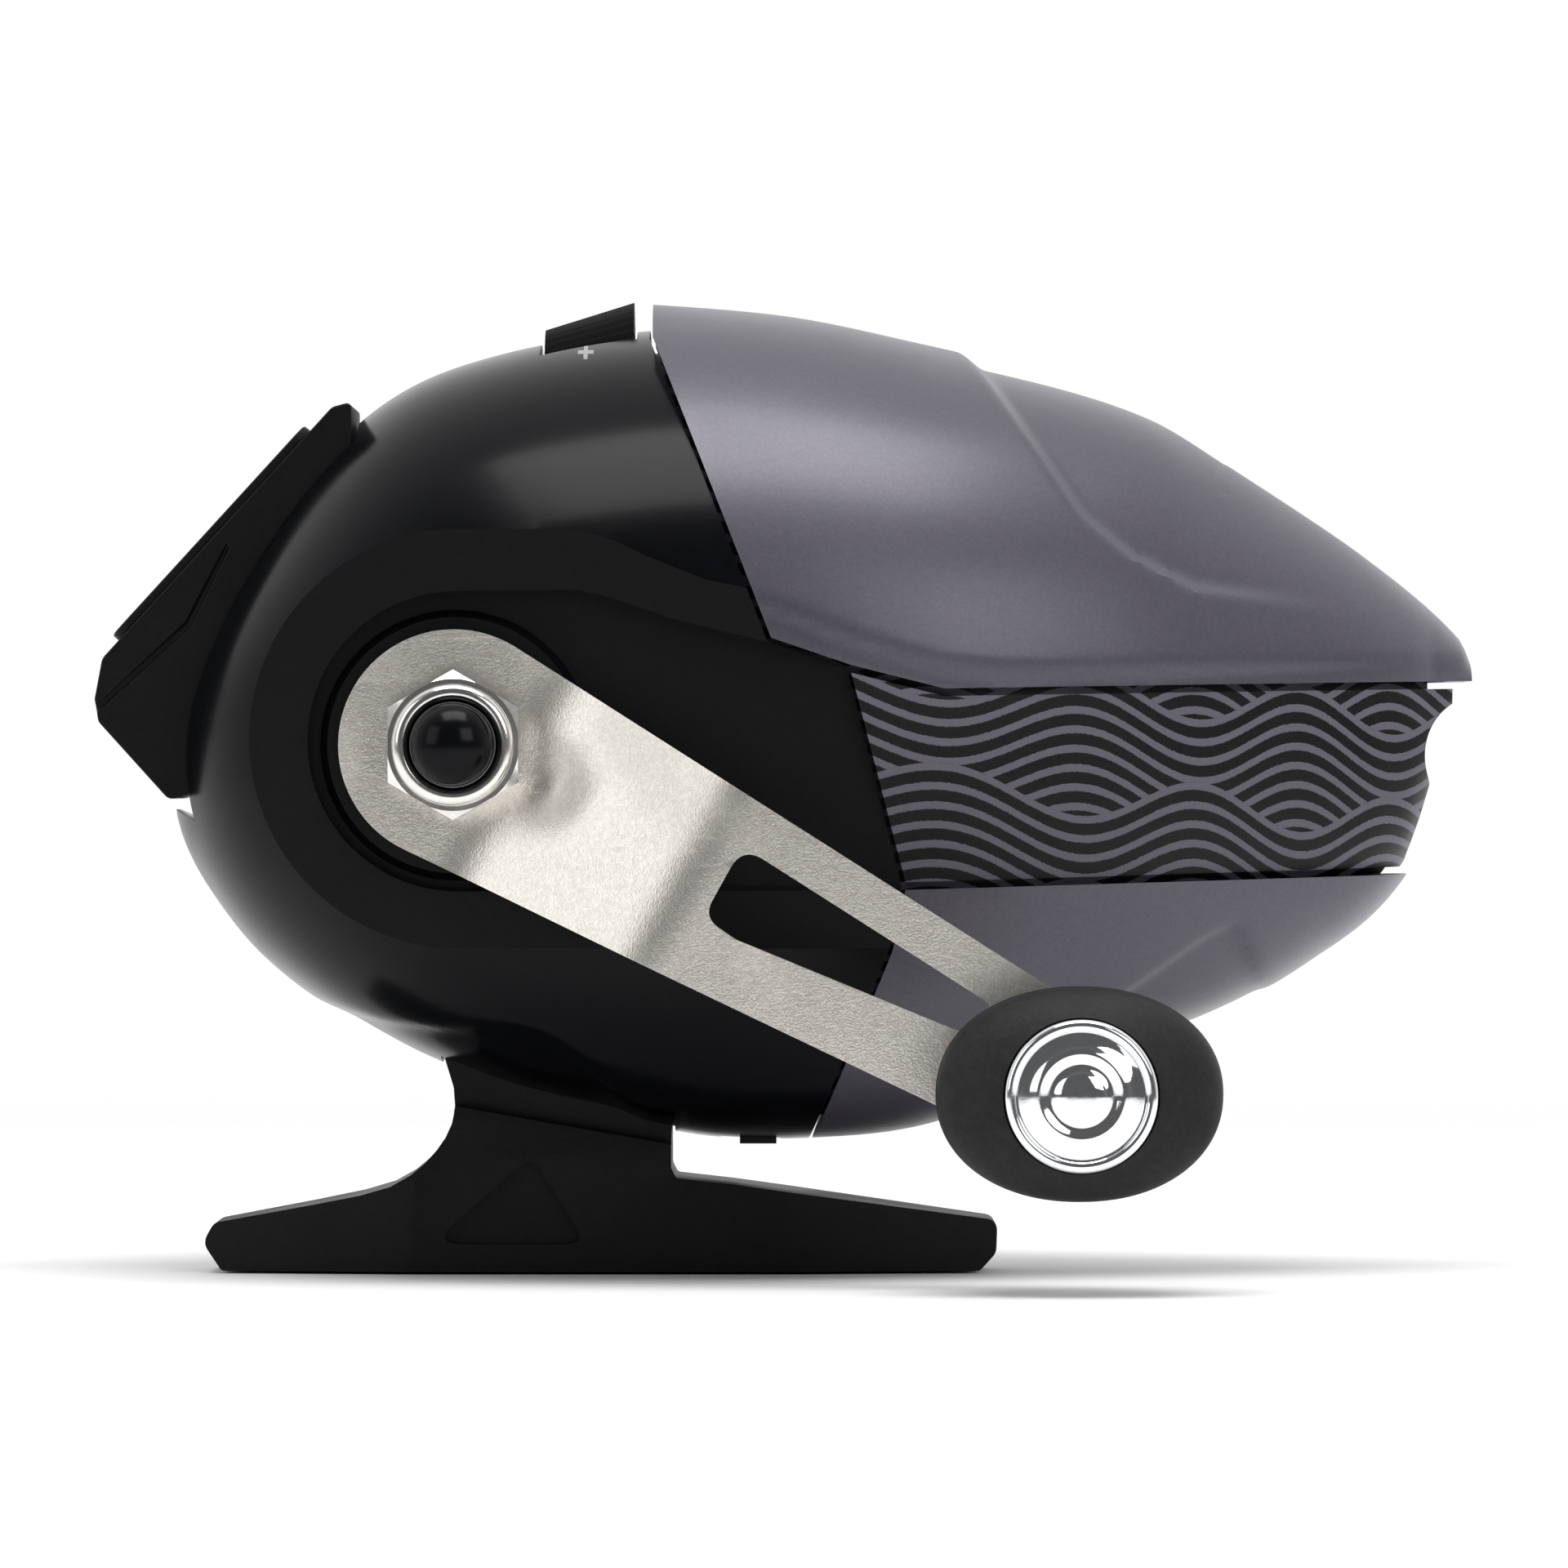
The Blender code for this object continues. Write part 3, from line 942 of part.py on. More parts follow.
    crank_empty = axis_empty("crank_axis", (CRANK_X, 0, AXIS_Z))
    place("crank_shaft", crank_shaft(), steel, crank_empty)
    place("crown_gear", crown_gear(), brass, crank_empty)
    place("ratchet_wheel", ratchet(), steel, crank_empty)
    place("crank_spacer", ring(RATCHET_Y + RATCHET_WIDTH + CLEARANCE,
                               -PINION_RADIUS - TOOTH_DEDENDUM - 0.0036 - CLEARANCE, 0.0046,
                               CRANK_SHAFT_RADIUS + RUNNING, crank_axis, "Y"), steel, crank_empty)
    place("crank_washer", ring(-POCKET_Y - 0.0022, -POCKET_Y - 0.0011, 0.0060,
                               CRANK_SHAFT_RADIUS + RUNNING, crank_axis, "Y", 24), steel, crank_empty)
    place("crank_arm", crank_arm(), steel, crank_empty)
    place("crank_nut", crank_nut(), steel, crank_empty)
    place("nut_dome", nut_dome(), gloss, crank_empty)
    place("knob_post", knob_post(), steel, crank_empty)
    knob_empty = axis_empty("knob_axis", (KNOB_X, 0, KNOB_Z), crank_empty)
    place("knob_grip", knob_grip(), rubber, knob_empty)
    place("knob_cap", knob_cap(), chrome, knob_empty)

    main_empty = axis_empty("pinion_axis", (0, 0, AXIS_Z))
    place("pinion", pinion(), brass, main_empty)
    place("return_spring", coil(-0.0086, PINION_REAR_X - CLEARANCE, 0.00215, 0.00025, 4.5, main_axis),
          steel, main_empty)
    shaft_empty = axis_empty("shaft_axis", (SHAFT_FRONT_X, 0, AXIS_Z), main_empty)
    place("centre_shaft", centre_shaft(), steel, shaft_empty)
    place("spinner_head", spinner_head(), alloy, shaft_empty)
    place("spinner_nut", cut(
        turned([(HEAD_FRONT_X + CLEARANCE, 0), (HEAD_FRONT_X + CLEARANCE, 0.0032),
                (HEAD_FRONT_X + 0.0026, 0.0032), (HEAD_FRONT_X + 0.0026, 0)], main_axis, steps=6),
        rod(0.0, 0.0500, SHAFT_RADIUS + RUNNING, main_axis)), steel, shaft_empty)
    for name, side in (("pickup_pin_a", 1), ("pickup_pin_b", -1)):
        pin_empty = axis_empty(f"{name}_axis", (PIN_X, 0, AXIS_Z), shaft_empty)
        place(name, pickup_pin(side), steel, pin_empty)

    button_empty = axis_empty("button_axis", (BUTTON_PIVOT_X, 0, BUTTON_PIVOT_Z))
    place("thumb_button", thumb_button(), matte, button_empty)
    dial_empty = axis_empty("dial_axis", (0, 0, DIAL_Z))
    place("drag_dial", drag_dial(), matte, dial_empty)
    plunger_empty = axis_empty("plunger_axis", (DECK_X, 0, DIAL_Z))
    place("drag_plunger", rod(DIAL_FRONT_X + 0.0004, SPOOL_REAR_X - 0.0004, PLUNGER_RADIUS, (0, DIAL_Z),
                              steps=12), steel, plunger_empty)
    pawl_empty = axis_empty("pawl_axis", (PAWL_X, 0, PAWL_Z))
    place("pawl", pawl(), steel, pawl_empty)
    latch_empty = axis_empty("latch_axis", (LATCH_X, 0, LATCH_LOW_Z))
    place("cover_latch", box((LATCH_X, -LATCH_WIDTH / 2, LATCH_LOW_Z),
                             (LATCH_X + LATCH_LENGTH, LATCH_WIDTH / 2, LATCH_HIGH_Z)), matte, latch_empty)


main()
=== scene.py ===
"""Looks of a spincast fishing reel: fine outer surfaces, finishes, floor, lights and camera.

Metres, +Z up, +X towards the nose where the line leaves, crank on the -Y side.
The origin is the middle of the foot's flat sole.
"""

import json
import logging
import math
from collections.abc import Callable, Iterable, Sequence
from dataclasses import dataclass, field
from enum import Enum
from functools import partial

import bmesh
import bpy
from mathutils import Matrix, Vector


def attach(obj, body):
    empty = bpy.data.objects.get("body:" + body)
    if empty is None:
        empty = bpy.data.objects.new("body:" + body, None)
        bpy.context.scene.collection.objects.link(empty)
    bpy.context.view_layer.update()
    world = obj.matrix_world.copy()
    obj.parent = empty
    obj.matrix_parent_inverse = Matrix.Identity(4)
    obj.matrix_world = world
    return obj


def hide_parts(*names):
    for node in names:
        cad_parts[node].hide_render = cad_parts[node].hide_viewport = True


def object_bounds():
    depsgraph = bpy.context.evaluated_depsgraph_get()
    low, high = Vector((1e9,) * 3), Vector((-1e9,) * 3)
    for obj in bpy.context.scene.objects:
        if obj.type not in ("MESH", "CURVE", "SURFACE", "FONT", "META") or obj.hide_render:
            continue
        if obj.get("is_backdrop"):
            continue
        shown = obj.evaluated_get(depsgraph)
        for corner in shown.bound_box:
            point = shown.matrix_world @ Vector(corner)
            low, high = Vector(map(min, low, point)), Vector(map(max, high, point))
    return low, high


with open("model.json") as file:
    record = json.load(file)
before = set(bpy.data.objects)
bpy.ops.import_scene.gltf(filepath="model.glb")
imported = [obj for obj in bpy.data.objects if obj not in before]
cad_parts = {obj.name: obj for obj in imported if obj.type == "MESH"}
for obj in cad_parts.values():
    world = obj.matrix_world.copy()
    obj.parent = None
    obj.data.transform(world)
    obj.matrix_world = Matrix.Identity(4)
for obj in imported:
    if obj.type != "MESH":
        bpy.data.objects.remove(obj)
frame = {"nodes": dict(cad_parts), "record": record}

LOG = logging.getLogger("spincast_reel")
Pair = tuple[float, float]
Outline = Sequence[Pair]
Mesh = bpy.types.Mesh
Socket = bpy.types.NodeSocket

MM_PER_METRE = 1000.0
AXIS_Z = 0.0415
CRANK_X = -0.0109
CRANK_AXIS = (CRANK_X, AXIS_Z)
CLEARANCE = 0.0003
RUNNING = 0.0001
SHELL_WALL = 0.0015
POCKET_Y, PLATEAU_Y = 0.0280, 0.0296
THROUGH_Y = 0.0400
SAME_PLACE = 1e-7
LARGEST_SHARE = 0.49
COLOUR_MIX_INPUTS, COLOUR_MIX_OUTPUT = (0, 6, 7), 2
REAR_SEAM = ((0.0037, 0.0820), (0.0039, 0.0736), (0.0132, 0.0495), (0.0194, 0.0474),
             (0.0236, 0.0306), (0.0226, 0.0255), (0.0165, 0.0105), (0.0145, 0.0040))
UPPER_SEAM = ((0.0132, 0.0495), (0.0194, 0.0474), (0.0269, 0.0456), (0.0720, 0.0464))
LOWER_SEAM = ((0.0236, 0.0306), (0.0720, 0.0319))
FLAT_FACING, FLAT_MARGIN, SEAT_HEIGHT = 0.995, 2e-5, 0.0009
SCREW_CIRCLE = 0.0233
BUTTON_HALF_WIDTH = 0.0105
BUTTON_PIVOT = (-0.0190, 0.0620)
BUTTON_PIN_RADIUS = 0.0011
DIAL_Z = 0.0648
DIAL_SPAN = (-0.00445, 0.0026)
DIAL_RADII = (0.0098, 0.0120)
DIAL_AXLE_BORE = 0.0021


class Axis(Enum):
    """The axis that a round piece is turned about."""

    X = "X"
    Y = "Y"

    def turn(self) -> Matrix:
        """The rotation that takes +Z to this axis."""
        quarter = math.pi / 2
        return Matrix.Rotation(quarter, 4, "Y") if self is Axis.X else Matrix.Rotation(-quarter, 4, "X")

    def origin(self, centre: Pair) -> Vector:
        """The foot of the axis, from its two coordinates in the plane across it."""
        return Vector((0, *centre)) if self is Axis.X else Vector((centre[0], 0, centre[1]))


class Operation(Enum):
    """How one solid meets another."""

    CUT = "DIFFERENCE"
    JOIN = "UNION"
    COMMON = "INTERSECT"


# ---------------------------------------------------------------- shaping
def smoothstep(low: float, high: float, value: float) -> float:
    """A soft step from 0 at low to 1 at high."""
    share = min(max((value - low) / (high - low), 0.0), 1.0)
    return share * share * (3 - 2 * share)


def finished(bm: bmesh.types.BMesh) -> Mesh:
    """Turn a bmesh into a mesh whose faces point outwards.

    Args:
        bm: The shape, which is freed.

    Returns:
        The new mesh.
    """
    bmesh.ops.recalc_face_normals(bm, faces=bm.faces)
    mesh = bpy.data.meshes.new("shape")
    bm.to_mesh(mesh)
    bm.free()
    return mesh


def combine(base: Mesh, tools: Iterable[Mesh], how: Operation) -> Mesh:
    """Cut, join or intersect a solid with others, all in the same frame.

    Args:
        base: The solid that is worked on.
        tools: The solids that work on it, one after the other.
        how: The operation.

    Returns:
        The new solid.
    """
    host = bpy.data.objects.new("host", base)
    bpy.context.scene.collection.objects.link(host)
    helpers = [host]
    for tool in tools:
        helper = bpy.data.objects.new("helper", tool)
        bpy.context.scene.collection.objects.link(helper)
        step = host.modifiers.new("step", "BOOLEAN")
        step.operation = how.value
        step.solver = "MANIFOLD"
        step.object = helper
        helpers.append(helper)
    graph = bpy.context.evaluated_depsgraph_get()
    result = bpy.data.meshes.new_from_object(host.evaluated_get(graph))
    for helper in helpers:
        bpy.data.objects.remove(helper)
    return result


def cut(base: Mesh, *tools: Mesh) -> Mesh:
    """The base without the tools."""
    return combine(base, tools, Operation.CUT)


def join(base: Mesh, *tools: Mesh) -> Mesh:
    """The base with the tools."""
    return combine(base, tools, Operation.JOIN)


def common(base: Mesh, *tools: Mesh) -> Mesh:
    """What the base shares with the tools."""
    return combine(base, tools, Operation.COMMON)


def block(low: Sequence[float], high: Sequence[float]) -> Mesh:
    """A block between two corners.

    Args:
        low: The lowest corner.
        high: The highest corner.

    Returns:
        The block.
    """
    bm = bmesh.new()
    size, middle = Vector(high) - Vector(low), (Vector(high) + Vector(low)) / 2
    bmesh.ops.create_cube(bm, size=1.0, matrix=Matrix.Translation(middle) @ Matrix.Diagonal((*size, 1)))
    return finished(bm)


def plate_shape(outline: Outline, low_y: float, high_y: float) -> bmesh.types.BMesh:
    """An outline of (x, z) points pushed along Y, still open to shaping.

    Args:
        outline: The side view.
        low_y: Where it starts.
        high_y: Where it ends.

    Returns:
        The shape.
    """
    bm = bmesh.new()
    face = bm.faces.new([bm.verts.new((x, low_y, z)) for x, z in outline])
    pushed = bmesh.ops.extrude_face_region(bm, geom=[face])
    moved = [item for item in pushed["geom"] if isinstance(item, bmesh.types.BMVert)]
    bmesh.ops.translate(bm, verts=moved, vec=(0, high_y - low_y, 0))
    return bm


def plate(outline: Outline, low_y: float, high_y: float) -> Mesh:
    """An outline of (x, z) points pushed along Y."""
    return finished(plate_shape(outline, low_y, high_y))


def through(outline: Outline) -> Mesh:
    """An outline of (x, z) points pushed right through the reel."""
    return plate(outline, -THROUGH_Y, THROUGH_Y)


def arc(middle: Pair, reach: Pair, angles: range) -> list[Pair]:
    """Points of a profile round a middle.

    Args:
        middle: The (distance along the axis, radius) that the arc turns about.
        reach: How far out it goes both ways; a negative value mirrors it.
        angles: The angles of its points, in degrees.

    Returns:
        The points.
    """
    turns = [math.radians(angle) for angle in angles]
    return [(middle[0] + reach[0] * math.sin(turn), middle[1] + reach[1] * math.cos(turn)) for turn in turns]


def ring(bm: bmesh.types.BMesh, corners: int,
         place: Callable[[float, float], Sequence[float]]) -> list[bmesh.types.BMEdge]:
    """A loop of edges drawn from a unit circle.

    Args:
        bm: The shape that it is added to.
        corners: Its number of points.
        place: Gives each point's position from its place on the unit circle.

    Returns:
        Its edges.
    """
    verts = bmesh.ops.create_circle(bm, cap_ends=False, segments=corners, radius=1.0)["verts"]
    for vert in verts:
        vert.co = place(vert.co.x, vert.co.y)
    return list(dict.fromkeys(edge for vert in verts for edge in vert.link_edges))


def skinned(bm: bmesh.types.BMesh, rings: Sequence[list[bmesh.types.BMEdge]]) -> Mesh:
    """Bridge rings one after the other and close both ends.

    Args:
        bm: The shape with the rings.
        rings: Their edges, in order.

    Returns:
        The closed solid.
    """
    for near, far in zip(rings, rings[1:]):
        bmesh.ops.bridge_loops(bm, edges=near + far)
    for end in (rings[0], rings[-1]):
        bmesh.ops.edgeloop_fill(bm, edges=end)
    return finished(bm)


def powered(value: float, power: float) -> float:
    """A value's size raised to a power, with its sign kept."""
    return math.copysign(abs(value) ** power, value)


def turned(profile: Outline, centre: Pair, axis: Axis = Axis.X, steps: int = 64) -> Mesh:
    """A closed profile of (distance along the axis, radius) points spun round the axis.

    Args:
        profile: The points; one that starts and ends on the axis makes a solid.
        centre: Where the axis crosses the plane across it.
        axis: The axis.
        steps: The number of segments.

    Returns:
        The turned solid.
    """
    bm = bmesh.new()
    verts = [bm.verts.new((radius, 0, place)) for place, radius in profile]
    pairs = list(zip(verts, verts[1:]))
    if profile[0][1] > 0:
        pairs.append((verts[-1], verts[0]))
    edges = [bm.edges.new(pair) for pair in pairs]
    bmesh.ops.spin(bm, geom=verts + edges, axis=(0, 0, 1), cent=(0, 0, 0), angle=2 * math.pi,
                   steps=steps, use_merge=True)
    bmesh.ops.remove_doubles(bm, verts=bm.verts, dist=SAME_PLACE)
    bmesh.ops.transform(bm, matrix=Matrix.Translation(axis.origin(centre)) @ axis.turn(), verts=bm.verts)
    return finished(bm)


def rod(start: float, end: float, radius: float, centre: Pair, axis: Axis = Axis.X,
        steps: int = 32) -> Mesh:
    """A plain round bar from start to end along the axis."""
    return turned([(start, 0), (start, radius), (end, radius), (end, 0)], centre, axis, steps)


def rounded(corners: Sequence[tuple[float, float, float]], steps: int = 6) -> list[Pair]:
    """An outline whose corners are rounded.

    Args:
        corners: The (x, z, radius) of each corner; a radius of 0 keeps it sharp.
        steps: The number of segments of each round corner.

    Returns:
        The outline's points.
    """
    points: list[Pair] = []
    for index, (x, z, radius) in enumerate(corners):
        here = Vector((x, z))
        back = Vector(corners[index - 1][:2]) - here
        ahead = Vector(corners[(index + 1) % len(corners)][:2]) - here
        if radius <= 0:
            points.append((x, z))
            continue
        half = back.angle(ahead) / 2
        reach = min(radius / math.tan(half), *(side.length * LARGEST_SHARE for side in (back, ahead)))
        first, last = here + back.normalized() * reach, here + ahead.normalized() * reach
        for step in range(steps + 1):
            share = step / steps
            point = (1 - share) ** 2 * first + 2 * share * (1 - share) * here + share**2 * last
            points.append((point.x, point.y))
    return points


def curve_through(points: Outline, x: float) -> float:
    """The value at x of a smooth curve through (x, value) points.

    Args:
        points: The points, in order of x.
        x: Where to read the curve.

    Returns:
        The value there.
    """
    last = len(points) - 1
    index = min(max(sum(1 for point in points if point[0] <= x) - 1, 0), last - 1)

    def slope(i: int) -> float:
        """Slope of the curve at point i."""
        low, high = max(i - 1, 0), min(i + 1, last)
        return (points[high][1] - points[low][1]) / (points[high][0] - points[low][0])

    (x0, v0), (x1, v1) = points[index], points[index + 1]
    span = x1 - x0
    t = (x - x0) / span
    return ((2 * t**3 - 3 * t**2 + 1) * v0 + (t**3 - 2 * t**2 + t) * span * slope(index)
            + (3 * t**2 - 2 * t**3) * v1 + (t**3 - t**2) * span * slope(index + 1))


@dataclass(frozen=True)
class Crease:
    """A soft step in a shell, seen from the side; what lies to the left of the line is lower."""

    line: Outline
    depth: float
    edge: float = 0.0009
    reach: float = 0.0090
    fade_in: float = 0.0001
    fade_out: float = 0.0001

    def sink(self, x: float, z: float) -> float:
        """How far the shell sinks at a point of the side view.

        Args:
            x: Place along the reel.
            z: Height.

        Returns:
            The depth, in metres.
        """
        best, along_best, side = 1.0, 0.0, -1.0
        travelled = 0.0
        for (x0, z0), (x1, z1) in zip(self.line, self.line[1:]):
            run, rise = x1 - x0, z1 - z0
            length = math.hypot(run, rise)
            share = min(max(((x - x0) * run + (z - z0) * rise) / length**2, 0.0), 1.0)
            gap = math.hypot(x - x0 - share * run, z - z0 - share * rise)
            if gap < best:
                best, along_best = gap, travelled + share * length
                side = run * (z - z0) - rise * (x - x0)
            travelled += length
        if side <= 0:
            return 0.0
        ends = smoothstep(0, self.fade_in, along_best) * smoothstep(0, self.fade_out, travelled - along_best)
        return self.depth * smoothstep(0, self.edge, best) * math.exp(-((best / self.reach) ** 2)) * ends


# ---------------------------------------------------------------- casing surface
class Roof(Enum):
    """Which top line a shell follows."""

    REAR = "rear"
    FRONT = "front"
    LINER = "liner"


@dataclass
class CasingForm:
    """The egg-shaped casing as a loft of oval rings."""

    rear_x: float = -0.0340
    nose_x: float = 0.0689
    middle_z: float = 0.0420
    squareness: float = 2.25
    rear_top: Outline = ((-0.0340, 0.0385), (-0.0326, 0.0456), (-0.0284, 0.0554), (-0.0193, 0.0671),
                         (-0.0115, 0.0716), (0.0039, 0.0745), (0.0240, 0.0740))
    front_top: Outline = ((0.0000, 0.0769), (0.0145, 0.0757), (0.0249, 0.0736), (0.0353, 0.07105),
                          (0.0431, 0.0682), (0.0483, 0.0651), (0.0561, 0.0598), (0.0639, 0.0540),
                          (0.0680, 0.0502), (0.0689, 0.0485))
    bottom: Outline = ((-0.0340, 0.0385), (-0.0310, 0.0300), (-0.0268, 0.0248), (-0.0197, 0.0196),
                       (-0.0120, 0.0158), (0.0067, 0.0108), (0.0170, 0.0104), (0.0270, 0.0118),
                       (0.0467, 0.0193), (0.0561, 0.0243), (0.0639, 0.0312), (0.0668, 0.0400),
                       (0.0689, 0.0458))
    half_width: Outline = ((-0.0340, 0.0), (-0.0310, 0.0150), (-0.0240, 0.0232), (-0.0140, 0.0284),
                           (0.0000, 0.0308), (0.0100, 0.0310), (0.0250, 0.0293), (0.0400, 0.0245),
                           (0.0550, 0.0172), (0.0640, 0.0120), (0.0689, 0.0070))
    slope_step: float = 0.0004
    steepest: float = 2.5
    middle_margin: float = 0.35
    thinnest: float = 0.0004
    end_gap: float = 0.0003
    crowding: float = 1.6

    def blunt(self, points: Outline, x: float) -> float:
        """A curve that leaves the rear point of the casing square to the axis."""
        reach = [(math.sqrt(max(px - self.rear_x, 0)), value) for px, value in points]
        return curve_through(reach, math.sqrt(max(x - self.rear_x, 0)))

    def top(self, roof: Roof, x: float) -> float:
        """Height of the chosen top line at x."""
        if roof is Roof.REAR:
            return self.blunt(self.rear_top, x)
        if roof is Roof.FRONT:
            return curve_through(self.front_top, x)
        return min(curve_through(self.front_top, x), self.blunt(self.rear_top, min(x, self.rear_top[-1][0])))

    def section(self, x: float, roof: Roof, inset: float) -> tuple[float, float, float, float]:
        """Top, bottom, middle height and half width of the casing at x.

        Args:
            x: Place along the reel.
            roof: The top line.
            inset: The wall that is taken off.

        Returns:
            The four values, in metres.
        """
        values = []
        for curve, inward in ((partial(self.top, roof), -1), (partial(self.blunt, self.bottom), 1),
                              (partial(self.blunt, self.half_width), -1)):
            values.append(curve(x) + inward * inset * self.steepness(curve, x))
        high, low, half = values
        margin = self.middle_margin * (high - low)
        return high, low, min(max(self.middle_z, low + margin), high - margin), max(half, self.thinnest)

    def steepness(self, curve: Callable[[float], float], x: float) -> float:
        """How much longer a wall is along the section at x than square to the surface."""
        low, high = max(x - self.slope_step, self.rear_x), min(x + self.slope_step, self.nose_x)
        return min(math.hypot(1, (curve(high) - curve(low)) / (high - low)), self.steepest)

    def loft(self, roof: Roof, inset: float = 0.0, start: float | None = None, end: float | None = None,
             corners: int = 152, stations: int = 84, creases: Sequence[Crease] = ()) -> Mesh:
        """The closed casing surface, bridged through oval rings along X.

        Args:
            roof: The top line.
            inset: The wall that is taken off.
            start: Where the loft starts, or None for the rear point.
            end: Where it ends, or None for the nose.
            corners: Points on each ring.
            stations: Number of steps along X.
            creases: Soft steps in the surface.

        Returns:
            The closed surface.
        """
        start = self.rear_x if start is None else start
        end = self.nose_x if end is None else end
        first, last = max(start, self.rear_x + inset) + self.end_gap, min(end, self.nose_x - inset * 2)
        bm = bmesh.new()
        rings = []
        for step in range(stations + 1):
            share = step / stations
            x = first + (last - first) * (share**self.crowding if start == self.rear_x else share)
            rings.append(ring(bm, corners, partial(self.skin, x, self.section(x, roof, inset), creases)))
        return skinned(bm, rings)

    def skin(self, x: float, section: tuple[float, float, float, float], creases: Sequence[Crease],
             across: float, up: float) -> Vector:
        """A point of the casing's surface.

        Args:
            x: Place along the reel.
            section: Top, bottom, middle height and half width there.
            creases: Soft steps in the surface.
            across: The point's place across a unit circle.
            up: Its height on the unit circle.

        Returns:
            The point.
        """
        high, low, middle, half = section
        power, rise = 2 / self.squareness, high - middle if up > 0 else middle - low
        point = Vector((x, half * powered(across, power), middle + rise * powered(up, power)))
        sink = sum(crease.sink(point.x, point.z) for crease in creases)
        if sink > 0:
            point += Vector((0, -point.y, self.middle_z - point.z)).normalized() * sink
        return point


FORM = CasingForm()


# ---------------------------------------------------------------- finishes
class Bench:
    """Adds and links shader nodes in one tree."""

    def __init__(self, tree: bpy.types.NodeTree) -> None:
        """Keep the tree that is worked on."""
        self.tree = tree

    def add(self, kind: str, **values: object) -> bpy.types.Node:
        """A new node.

        Args:
            kind: The node's type name without the ShaderNode prefix.
            values: Its settings, by name.

        Returns:
            The node.
        """
        node = self.tree.nodes.new("ShaderNode" + kind)
        for name, value in values.items():
            setattr(node, name, value)
        return node

    def feed(self, socket: Socket, source: Socket | float | Sequence[float]) -> None:
        """Give an input a link or a value."""
        if isinstance(source, Socket):
            self.tree.links.new(source, socket)
        else:
            socket.default_value = source

    def calc(self, operation: str, *sources: Socket | float) -> Socket:
        """The result of a Math node with the sources as its inputs."""
        node = self.add("Math", operation=operation)
        for socket, source in zip(node.inputs, sources):
            self.feed(socket, source)
        return node.outputs[0]

    def ranged(self, value: Socket, low: float, high: float, to_low: float, to_high: float) -> Socket:
        """A value carried softly from one range to another."""
        node = self.add("MapRange", interpolation_type="SMOOTHSTEP")
        for socket, source in zip(node.inputs, (value, low, high, to_low, to_high)):
            self.feed(socket, source)
        return node.outputs[0]

    def blend(self, share: Socket | float, first: object, second: object) -> Socket:
        """A colour between two, by a share."""
        node = self.add("Mix", data_type="RGBA")
        for place, source in zip(COLOUR_MIX_INPUTS, (share, first, second)):
            self.feed(node.inputs[place], source)
        return node.outputs[COLOUR_MIX_OUTPUT]

    def place(self) -> Socket:
        """Where on the piece a point is, in metres."""
        return self.add("TexCoord").outputs["Object"]

    def noise(self, place: Socket, scale: Socket | float, detail: float = 2.0) -> Socket:
        """Cloudy noise over a place."""
        node = self.add("TexNoise")
        for label, source in (("Vector", place), ("Scale", scale), ("Detail", detail)):
            self.feed(node.inputs[label], source)
        return node.outputs[0]


def shared_group(name: str, inputs: dict[str, float], outputs: dict[str, str],
                 build: Callable[[Bench, bpy.types.Node, bpy.types.Node], None]) -> bpy.types.NodeTree:
    """A node group that several finishes use, built the first time it is asked for.

    Args:
        name: The group's name.
        inputs: Each number it takes, with its usual value.
        outputs: Each output with its socket type.
        build: Fills the tree between its input and output nodes.

    Returns:
        The group.
    """
    made = bpy.data.node_groups.get(name)
    if made:
        return made
    tree = bpy.data.node_groups.new(name, "ShaderNodeTree")
    for label, value in inputs.items():
        tree.interface.new_socket(label, in_out="INPUT", socket_type="NodeSocketFloat").default_value = value
    for label, kind in outputs.items():
        tree.interface.new_socket(label, in_out="OUTPUT", socket_type=kind)
    bench = Bench(tree)
    build(bench, tree.nodes.new("NodeGroupInput"), tree.nodes.new("NodeGroupOutput"))
    return tree


def grain_group() -> bpy.types.NodeTree:
    """Fine moulded or blasted grain: a bumped normal and a speckle mask."""
    coarse_scale, fine_share, coarse_share, bump_height = 0.31, 0.65, 0.35, 0.0002
    speckle_low, speckle_high = 0.40, 0.62

    def build(bench: Bench, given: bpy.types.Node, result: bpy.types.Node) -> None:
        """Two sizes of noise give the height."""
        place, scale = bench.place(), given.outputs["Scale"]
        fine = bench.noise(place, scale)
        coarse = bench.noise(place, bench.calc("MULTIPLY", scale, coarse_scale))
        height = bench.calc("ADD", bench.calc("MULTIPLY", fine, fine_share),
                            bench.calc("MULTIPLY", coarse, coarse_share))
        bump = bench.add("Bump")
        depth = given.outputs["Depth"]
        for label, source in (("Strength", depth), ("Distance", bump_height), ("Height", height)):
            bench.feed(bump.inputs[label], source)
        bench.feed(result.inputs["Normal"], bump.outputs[0])
        bench.feed(result.inputs["Speckle"], bench.ranged(height, speckle_low, speckle_high, 0.0, 1.0))

    return shared_group("Surface grain", {"Scale": 4000.0, "Depth": 0.1},
                        {"Normal": "NodeSocketVector", "Speckle": "NodeSocketFloat"}, build)


